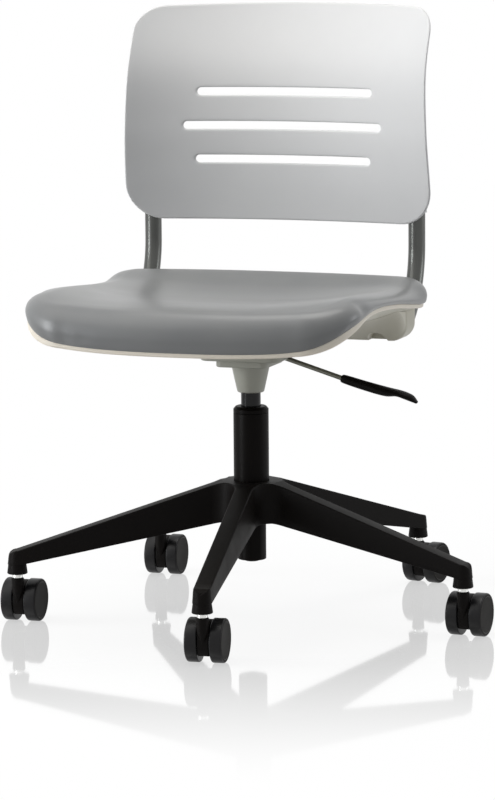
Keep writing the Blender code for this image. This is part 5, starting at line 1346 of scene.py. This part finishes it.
def five_star_base():
    """Star of tapering legs with flat tops, flaring sides, ribbed pockets below and stem sockets."""
    side = leg_side()
    valley = pi / LEG_COUNT
    bore_steps = 16
    star = bmesh.new()
    for leg in range(LEG_COUNT):
        turn = Matrix.Rotation(2.0 * pi * leg / LEG_COUNT, 4, "Z")
        strips = []
        for sign in (1, -1):
            strip = []
            for p, out in side:
                column = []
                for outset, share, offset in leg_rows(leg_flare(p.x)):
                    spot = p + outset * out
                    height = leg_bottom(p.x) + share * (leg_top(p.x) - leg_bottom(p.x)) + offset
                    column.append(star.verts.new(turn @ Vector((spot.x, sign * spot.y, height))))
                strip.append(column)
            strips.append(strip)
        for strip in strips:
            for a, b in zip(strip, strip[1:]):
                for k in range(len(a) - 1):
                    star.faces.new((a[k], b[k], b[k + 1], a[k + 1]))
        left, right = strips
        for i in range(len(side) - 1):
            star.faces.new((left[i][0], right[i][0], right[i + 1][0], left[i + 1][0]))
            star.faces.new((left[i][-1], left[i + 1][-1], right[i + 1][-1], right[i][-1]))
        rings = []
        for z in (HUB_TOP, HUB_BOTTOM):
            radius = (column_radius_at(z) + FIT_GAP) / cos(valley / bore_steps)
            rings.append([star.verts.new(turn @ Vector((x, y, z)))
                          for x, y in arc(radius, -LEG_GAP_DEG, LEG_GAP_DEG, bore_steps)])
        star.faces.new([left[0][0], right[0][0]] + rings[0])
        star.faces.new([left[0][-1], right[0][-1]] + rings[1])
        for k in range(bore_steps):
            star.faces.new((rings[0][k], rings[0][k + 1], rings[1][k + 1], rings[1][k]))
    closed_up(star)

    pockets, sockets, bores = [], [], []
    bay = (BAY_END - BAY_START + LEG_RIB) / LEG_BAYS
    for leg in range(LEG_COUNT):
        turn = Matrix.Rotation(2.0 * pi * leg / LEG_COUNT, 4, "Z")
        for k in range(LEG_BAYS):
            ends = []
            for x in (BAY_START + k * bay, BAY_START + (k + 1) * bay - LEG_RIB):
                share = x / STEM_CIRCLE
                half = LEG_TOP_HALF + share * (LEG_TIP_HALF - LEG_TOP_HALF) - LEG_WALL
                wide = half + leg_flare(x)
                low = leg_bottom(x) - 0.002
                high = leg_top(x) - LEG_WALL
                ends.append([Vector((x, -wide, low)), Vector((x, wide, low)),
                             Vector((x, half, high)), Vector((x, -half, high))])
            pocket = loft(ends)
            pocket.transform(turn)
            pockets.append(pocket)
        socket = turned(eased(((0.0, SOCKET_BOTTOM, 0.0), (SOCKET_RADIUS, SOCKET_BOTTOM, 0.0014),
                               (SOCKET_TOP_RADIUS, LEG_TIP_TOP - LEG_TIP_ROLL, 0.0),
                               (0.0, LEG_TIP_TOP - LEG_TIP_ROLL, 0.0)), 6), 56)
        bore = rod_between(STEM_RADIUS + FIT_GAP, SOCKET_BOTTOM - 0.002, SOCKET_BOTTOM + STEM_DEPTH_IN_LEG)
        for solid in (socket, bore):
            solid.transform(turn @ Matrix.Translation((STEM_CIRCLE, 0.0, 0.0)))
        sockets.append(socket)
        bores.append(bore)
    bm = carved(star, [("DIFFERENCE", together(pockets)), ("UNION", together(sockets)),
                       ("DIFFERENCE", together(bores))])
    bm.transform(Matrix.Rotation(LEG_TURN, 4, "Z"))
    return bm


# Casters, in their own frame: stem axis at the origin, floor z = 0, wheels trailing to +Y

def caster_wheel(sign):
    """Tread wheel: rounded tread, plain face with a shallow turned ring, and a blind bore."""
    outer = 0.5 * CASTER_WIDTH
    inner = outer - WHEEL_WIDTH
    face = outer - WHEEL_FACE_SUNK
    end = outer - WHEEL_BORE_WALL
    bore = AXLE_RADIUS + FIT_GAP
    line = eased(((0.0, face, 0.0), (WHEEL_RADIUS - WHEEL_FACE_EDGE, face, 0.0003),
                  (WHEEL_RADIUS - WHEEL_FACE_EDGE + 0.0006, outer, 0.0003), (WHEEL_RADIUS, outer, 0.0026),
                  (WHEEL_RADIUS, inner, 0.0016), (bore, inner, 0.0004), (bore, end, 0.0), (0.0, end, 0.0)), 6)
    bm = along_x(turned(line, 80), CASTER_TRAIL, WHEEL_RADIUS)
    return bm if sign > 0 else mirrored(bm)


def caster_hood():
    """Drum between the wheels, open below, running up into the neck that takes the stem."""
    body = drum(HOOD_RADIUS, 0.5 * CASTER_WIDTH - WHEEL_WIDTH - RUN_GAP, 0.0009, 80)
    along_x(body, CASTER_TRAIL, WHEEL_RADIUS)
    neck = turned(eased(((0.0, HOOD_TOP, 0.0), (HOOD_NECK_RADIUS, HOOD_TOP, 0.0014),
                         (HOOD_NECK_RADIUS - 0.0018, HOOD_TOP - 0.022, 0.008), (0.0015, WHEEL_RADIUS - 0.002, 0.0),
                         (0.0, WHEEL_RADIUS - 0.002, 0.0)), 6), 56)
    floor_cut = block((-CASTER_WIDTH, -CASTER_WIDTH, -HOOD_FLOOR_GAP),
                      (CASTER_WIDTH, CASTER_TRAIL + CASTER_WIDTH, HOOD_FLOOR_GAP))
    stem_bore = rod_between(STEM_RADIUS + FIT_GAP, HOOD_TOP - STEM_DEPTH_IN_HOOD - FIT_GAP, HOOD_TOP + 0.01)
    axle_bore = along_x(rod_between(AXLE_RADIUS + FIT_GAP, -0.04, 0.04, 24), CASTER_TRAIL, WHEEL_RADIUS)
    return carved(body, [("UNION", neck), ("DIFFERENCE", floor_cut), ("DIFFERENCE", stem_bore),
                         ("DIFFERENCE", axle_bore)])


def caster_stem():
    foot = HOOD_TOP - STEM_DEPTH_IN_HOOD
    head = SOCKET_BOTTOM + STEM_DEPTH_IN_LEG - FIT_GAP
    return turned(eased(((0.0, foot, 0.0), (STEM_RADIUS, foot, 0.0008), (STEM_RADIUS, HOOD_TOP + FIT_GAP, 0.0),
                         (STEM_COLLAR_RADIUS, HOOD_TOP + FIT_GAP, 0.0007),
                         (STEM_COLLAR_RADIUS, SOCKET_BOTTOM - 2 * FIT_GAP, 0.0007),
                         (STEM_RADIUS, SOCKET_BOTTOM - 2 * FIT_GAP, 0.0), (STEM_RADIUS, head, 0.0008),
                         (0.0, head, 0.0)), 4), 40)


# Setting the pieces down

def dress_casters():
    for i, turn_deg in enumerate(CASTER_TURN_DEG):
        tag = "caster_%d" % (i + 1)
        turn = LEG_TURN + 2.0 * pi * i / LEG_COUNT
        stand = (CHAIR @ Matrix.Translation((STEM_CIRCLE * cos(turn), STEM_CIRCLE * sin(turn), 0.0))
                 @ Matrix.Rotation(-radians(turn_deg), 4, "Z"))
        piece(tag + "_hood_skin", caster_hood(), ["nylon_black"], tag, [tag + "_hood"], stand)
        piece(tag + "_stem_skin", caster_stem(), ["steel_bright"], tag, [tag + "_stem"], stand)
        axis = stand.to_3x3() @ Vector((1.0, 0.0, 0.0))
        for name, sign in zip(SIDES, (-1, 1)):
            def tread_or_face(face, out=axis * sign):
                return int(face.normal.dot(out) > FACE_ALONG_AXLE)
            piece("%s_wheel_%s_skin" % (tag, name), caster_wheel(sign), ["tread_black", "wheel_face_black"],
                  "%s_%s" % (tag, name), ["%s_wheel_%s" % (tag, name)], stand, pick=tread_or_face)


def dress_chair():
    seat_cushion()
    piece("seat_shell_rim", seat_shell(), ["shell_cream", "housing_grey_green"], "seat", ["seat_shell"])
    piece("back_shell_skin", back_shell(), ["back_grey"], "back", ["back_shell"])
    for side, place in (("right", lambda bm: bm), ("left", mirrored)):
        piece("housing_skin_" + side, place(pivot_housing()), ["housing_grey_green"], "seat",
              ["pivot_housing_" + side])
        piece("tube_skin_" + side, place(back_tube()), ["tube_silver"], "back", ["back_tube_" + side])
    for name, made, coat, body, stands_for, slot in (
            ("socket_skin", column_socket, "cast_grey_green", "seat", "column_socket", "cast_grey_green"),
            ("cylinder_skin", gas_cylinder, "cylinder_black", "seat", "gas_cylinder", "steel_black"),
            ("lever_rod_skin", lever_rod, "rod_grey_green", "lever", "lever_rod", "cast_grey_green"),
            ("lever_grip_skin", lever_grip, "nylon_black", "lever", "lever_grip", "nylon_black"),
            ("column_skin", column_tube, "steel_black", "base", "column_tube", "steel_black"),
            ("bush_skin", column_bush, "steel_black", "base", "column_bush", "nylon_black"),
            ("base_skin", five_star_base, "nylon_black", "base", "five_star_base", "nylon_black")):
        piece(name, made(), [coat], body, [stands_for])
    dress_casters()


# CAD nodes that stay as they are, under the finish they get
KEPT_NODES = {
    "steel_black": ["mount_plate", "cross_rail", "piston_rod", "retaining_clip"]
                   + ["housing_screw_" + side for side in SIDES],
    "steel_bright": ["lever_pin", "release_button", "thrust_bearing"] + ["hinge_pin_" + side for side in SIDES]
                    + ["caster_%d_axle" % (i + 1) for i in range(LEG_COUNT)],
    "rubber_black": ["torsion_bush_" + side for side in SIDES],
}


def dress_kept_nodes():
    for coat, names in KEPT_NODES.items():
        for name in names:
            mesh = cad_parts[name].data
            mesh.materials.clear()
            mesh.materials.append(FINISHES[coat])


# Studio

CAMERA_SENSOR = 36.0
CAMERA_FOCAL_PX = 3655.8
CAMERA_DISTANCE = 5.1074
CAMERA_HEIGHT = 1.0531
CAMERA_PITCH = 0.14424
CAMERA_CENTRE_PX = 250.888
CAMERA_ROLL = -0.0080
CAMERA_TURN = radians(19.0)


def camera():
    item = linked("camera", set_all(
        bpy.data.cameras.new("camera"), sensor_fit="AUTO", sensor_width=CAMERA_SENSOR,
        lens=CAMERA_FOCAL_PX * CAMERA_SENSOR / IMAGE_HEIGHT,
        shift_x=-(CAMERA_CENTRE_PX - 0.5 * IMAGE_WIDTH) / IMAGE_HEIGHT, clip_start=0.1, clip_end=60.0))
    ahead = Vector((-sin(CAMERA_TURN) * cos(CAMERA_PITCH), cos(CAMERA_TURN) * cos(CAMERA_PITCH),
                    -sin(CAMERA_PITCH)))
    right = Vector((cos(CAMERA_TURN), sin(CAMERA_TURN), 0.0))
    up = right.cross(ahead)
    rolled = right * cos(CAMERA_ROLL) + up * sin(CAMERA_ROLL)
    upright = -right * sin(CAMERA_ROLL) + up * cos(CAMERA_ROLL)
    place = CHAIR @ Vector((CAMERA_DISTANCE * sin(CAMERA_TURN), -CAMERA_DISTANCE * cos(CAMERA_TURN),
                            CAMERA_HEIGHT))
    rows = [(rolled[k], upright[k], -ahead[k], place[k]) for k in range(3)]
    item.matrix_world = Matrix(rows + [(0.0, 0.0, 0.0, 1.0)])
    bpy.context.scene.camera = item


LAMP_AIM = Vector((0.0, 0.0, 0.5))
WARM_WHITE = (1.0, 0.985, 0.955)
COOL_WHITE = (0.955, 0.98, 1.0)
WHITE = (1.0, 1.0, 1.0, 1.0)
ROOM_TONE = (0.91, 0.96, 1.0, 1.0)


def lamp(name, place, size, power, tint, shines=True, mirrors=True):
    """Soft box that looks at the middle of the chair; it may leave out its plain light or its mirror image."""
    data = set_all(bpy.data.lights.new(name, "AREA"), shape="RECTANGLE", size=size[0], size_y=size[1], energy=power,
                   color=tint)
    set_all(linked(name, data), location=place, visible_diffuse=shines, visible_glossy=mirrors,
            rotation_euler=(LAMP_AIM - Vector(place)).to_track_quat("-Z", "Y").to_euler())


def seen_directly(tree):
    """One where a ray comes straight from the camera, a mirror or a clear piece."""
    path = node(tree, "ShaderNodeLightPath")
    both = math_node(tree, "MAXIMUM", path.outputs["Is Camera Ray"], path.outputs["Is Glossy Ray"])
    return math_node(tree, "MAXIMUM", both, path.outputs["Is Transmission Ray"])


def white_room(ambient):
    world = bpy.data.worlds.new("white_room")
    bpy.context.scene.world = world
    world.use_nodes = True
    tree = world.node_tree
    shown = node(tree, "ShaderNodeBackground", (("Color", WHITE), ("Strength", 1.0)))
    fill = node(tree, "ShaderNodeBackground", (("Color", ROOM_TONE), ("Strength", ambient)))
    mixed = node(tree, "ShaderNodeMixShader", ((0, seen_directly(tree)), (1, fill.outputs[0]),
                                               (2, shown.outputs[0])))
    tree.links.new(mixed.outputs[0], tree.nodes["World Output"].inputs["Surface"])


ROOM_FILL = 0.26
FLOOR_SIZE = 14.0
FLOOR_DROP = 0.0004
FLOOR_MIRROR = 0.32
FLOOR_SHADE = 0.16
FLOOR_BOUNCE = 0.50
SHADE_REACH = 1.1
MIRROR_FAR = -0.22
MIRROR_NEAR = -0.98


def glossy_floor():
    """Polished white floor: the chair's shadow round it, and a mirror image that fades towards the front."""
    bm = bmesh.new()
    bmesh.ops.create_grid(bm, x_segments=8, y_segments=8, size=0.5 * FLOOR_SIZE)
    bm.transform(Matrix.Translation((0.0, 0.0, -FLOOR_DROP)))
    floor = linked("floor", to_mesh(bm, "floor"))
    material = bpy.data.materials.new("polished_floor")
    material.use_nodes = True
    tree = material.node_tree
    tree.nodes.remove(tree.nodes["Principled BSDF"])
    place = node(tree, "ShaderNodeTexCoord").outputs["Object"]
    rearward = (-sin(CAMERA_TURN), cos(CAMERA_TURN), 0.0)
    ahead = node(tree, "ShaderNodeVectorMath", ((0, place), (1, rearward)),
                 operation="DOT_PRODUCT").outputs["Value"]
    fade = node(tree, "ShaderNodeMapRange", ((0, ahead), (1, MIRROR_NEAR), (2, MIRROR_FAR), (3, 0.0),
                                             (4, FLOOR_MIRROR)), interpolation_type="SMOOTHSTEP").outputs[0]
    away = node(tree, "ShaderNodeVectorMath", ((0, place),), operation="LENGTH").outputs["Value"]
    shade = node(tree, "ShaderNodeMapRange", ((0, away), (1, 0.35), (2, SHADE_REACH), (3, FLOOR_SHADE), (4, 0.0)),
                 interpolation_type="SMOOTHSTEP").outputs[0]
    shown = node(tree, "ShaderNodeEmission", (("Color", WHITE), ("Strength", 1.0)))
    white = node(tree, "ShaderNodeBsdfDiffuse", (("Color", (0.95, 0.95, 0.95, 1.0)),))
    paint = node(tree, "ShaderNodeMixShader", ((0, shade), (1, shown.outputs[0]), (2, white.outputs[0])))
    mirror = node(tree, "ShaderNodeBsdfGlossy", (("Color", WHITE), ("Roughness", 0.05)))
    polished = node(tree, "ShaderNodeMixShader", ((0, fade), (1, paint.outputs[0]), (2, mirror.outputs[0])))
    matt = node(tree, "ShaderNodeBsdfDiffuse", (("Color", (FLOOR_BOUNCE, FLOOR_BOUNCE, FLOOR_BOUNCE, 1.0)),))
    surface = node(tree, "ShaderNodeMixShader", ((0, seen_directly(tree)), (1, matt.outputs[0]),
                                                 (2, polished.outputs[0])))
    tree.links.new(surface.outputs[0], tree.nodes["Material Output"].inputs["Surface"])
    floor.data.materials.append(material)


def studio():
    scene = bpy.context.scene
    scene.view_settings.view_transform = "Standard"
    white_room(ROOM_FILL)
    lamp("overhead", (0.0, 0.0, 4.0), (2.4, 2.4), 90.0, WARM_WHITE)
    lamp("left_front", (-1.7, -1.7, 2.95), (2.4, 2.4), 33.0, WARM_WHITE)
    lamp("left_low", (-3.2, -1.1, 1.0), (1.6, 1.6), 66.0, COOL_WHITE, mirrors=False)
    lamp("edge", (3.0, 1.2, 1.1), (1.2, 1.2), 19.0, COOL_WHITE)
    lamp("left_strip", (-2.6, -2.26, 0.75), (0.6, 1.6), 56.0, COOL_WHITE, shines=False)
    glossy_floor()


dress_chair()
dress_kept_nodes()
camera()
studio()
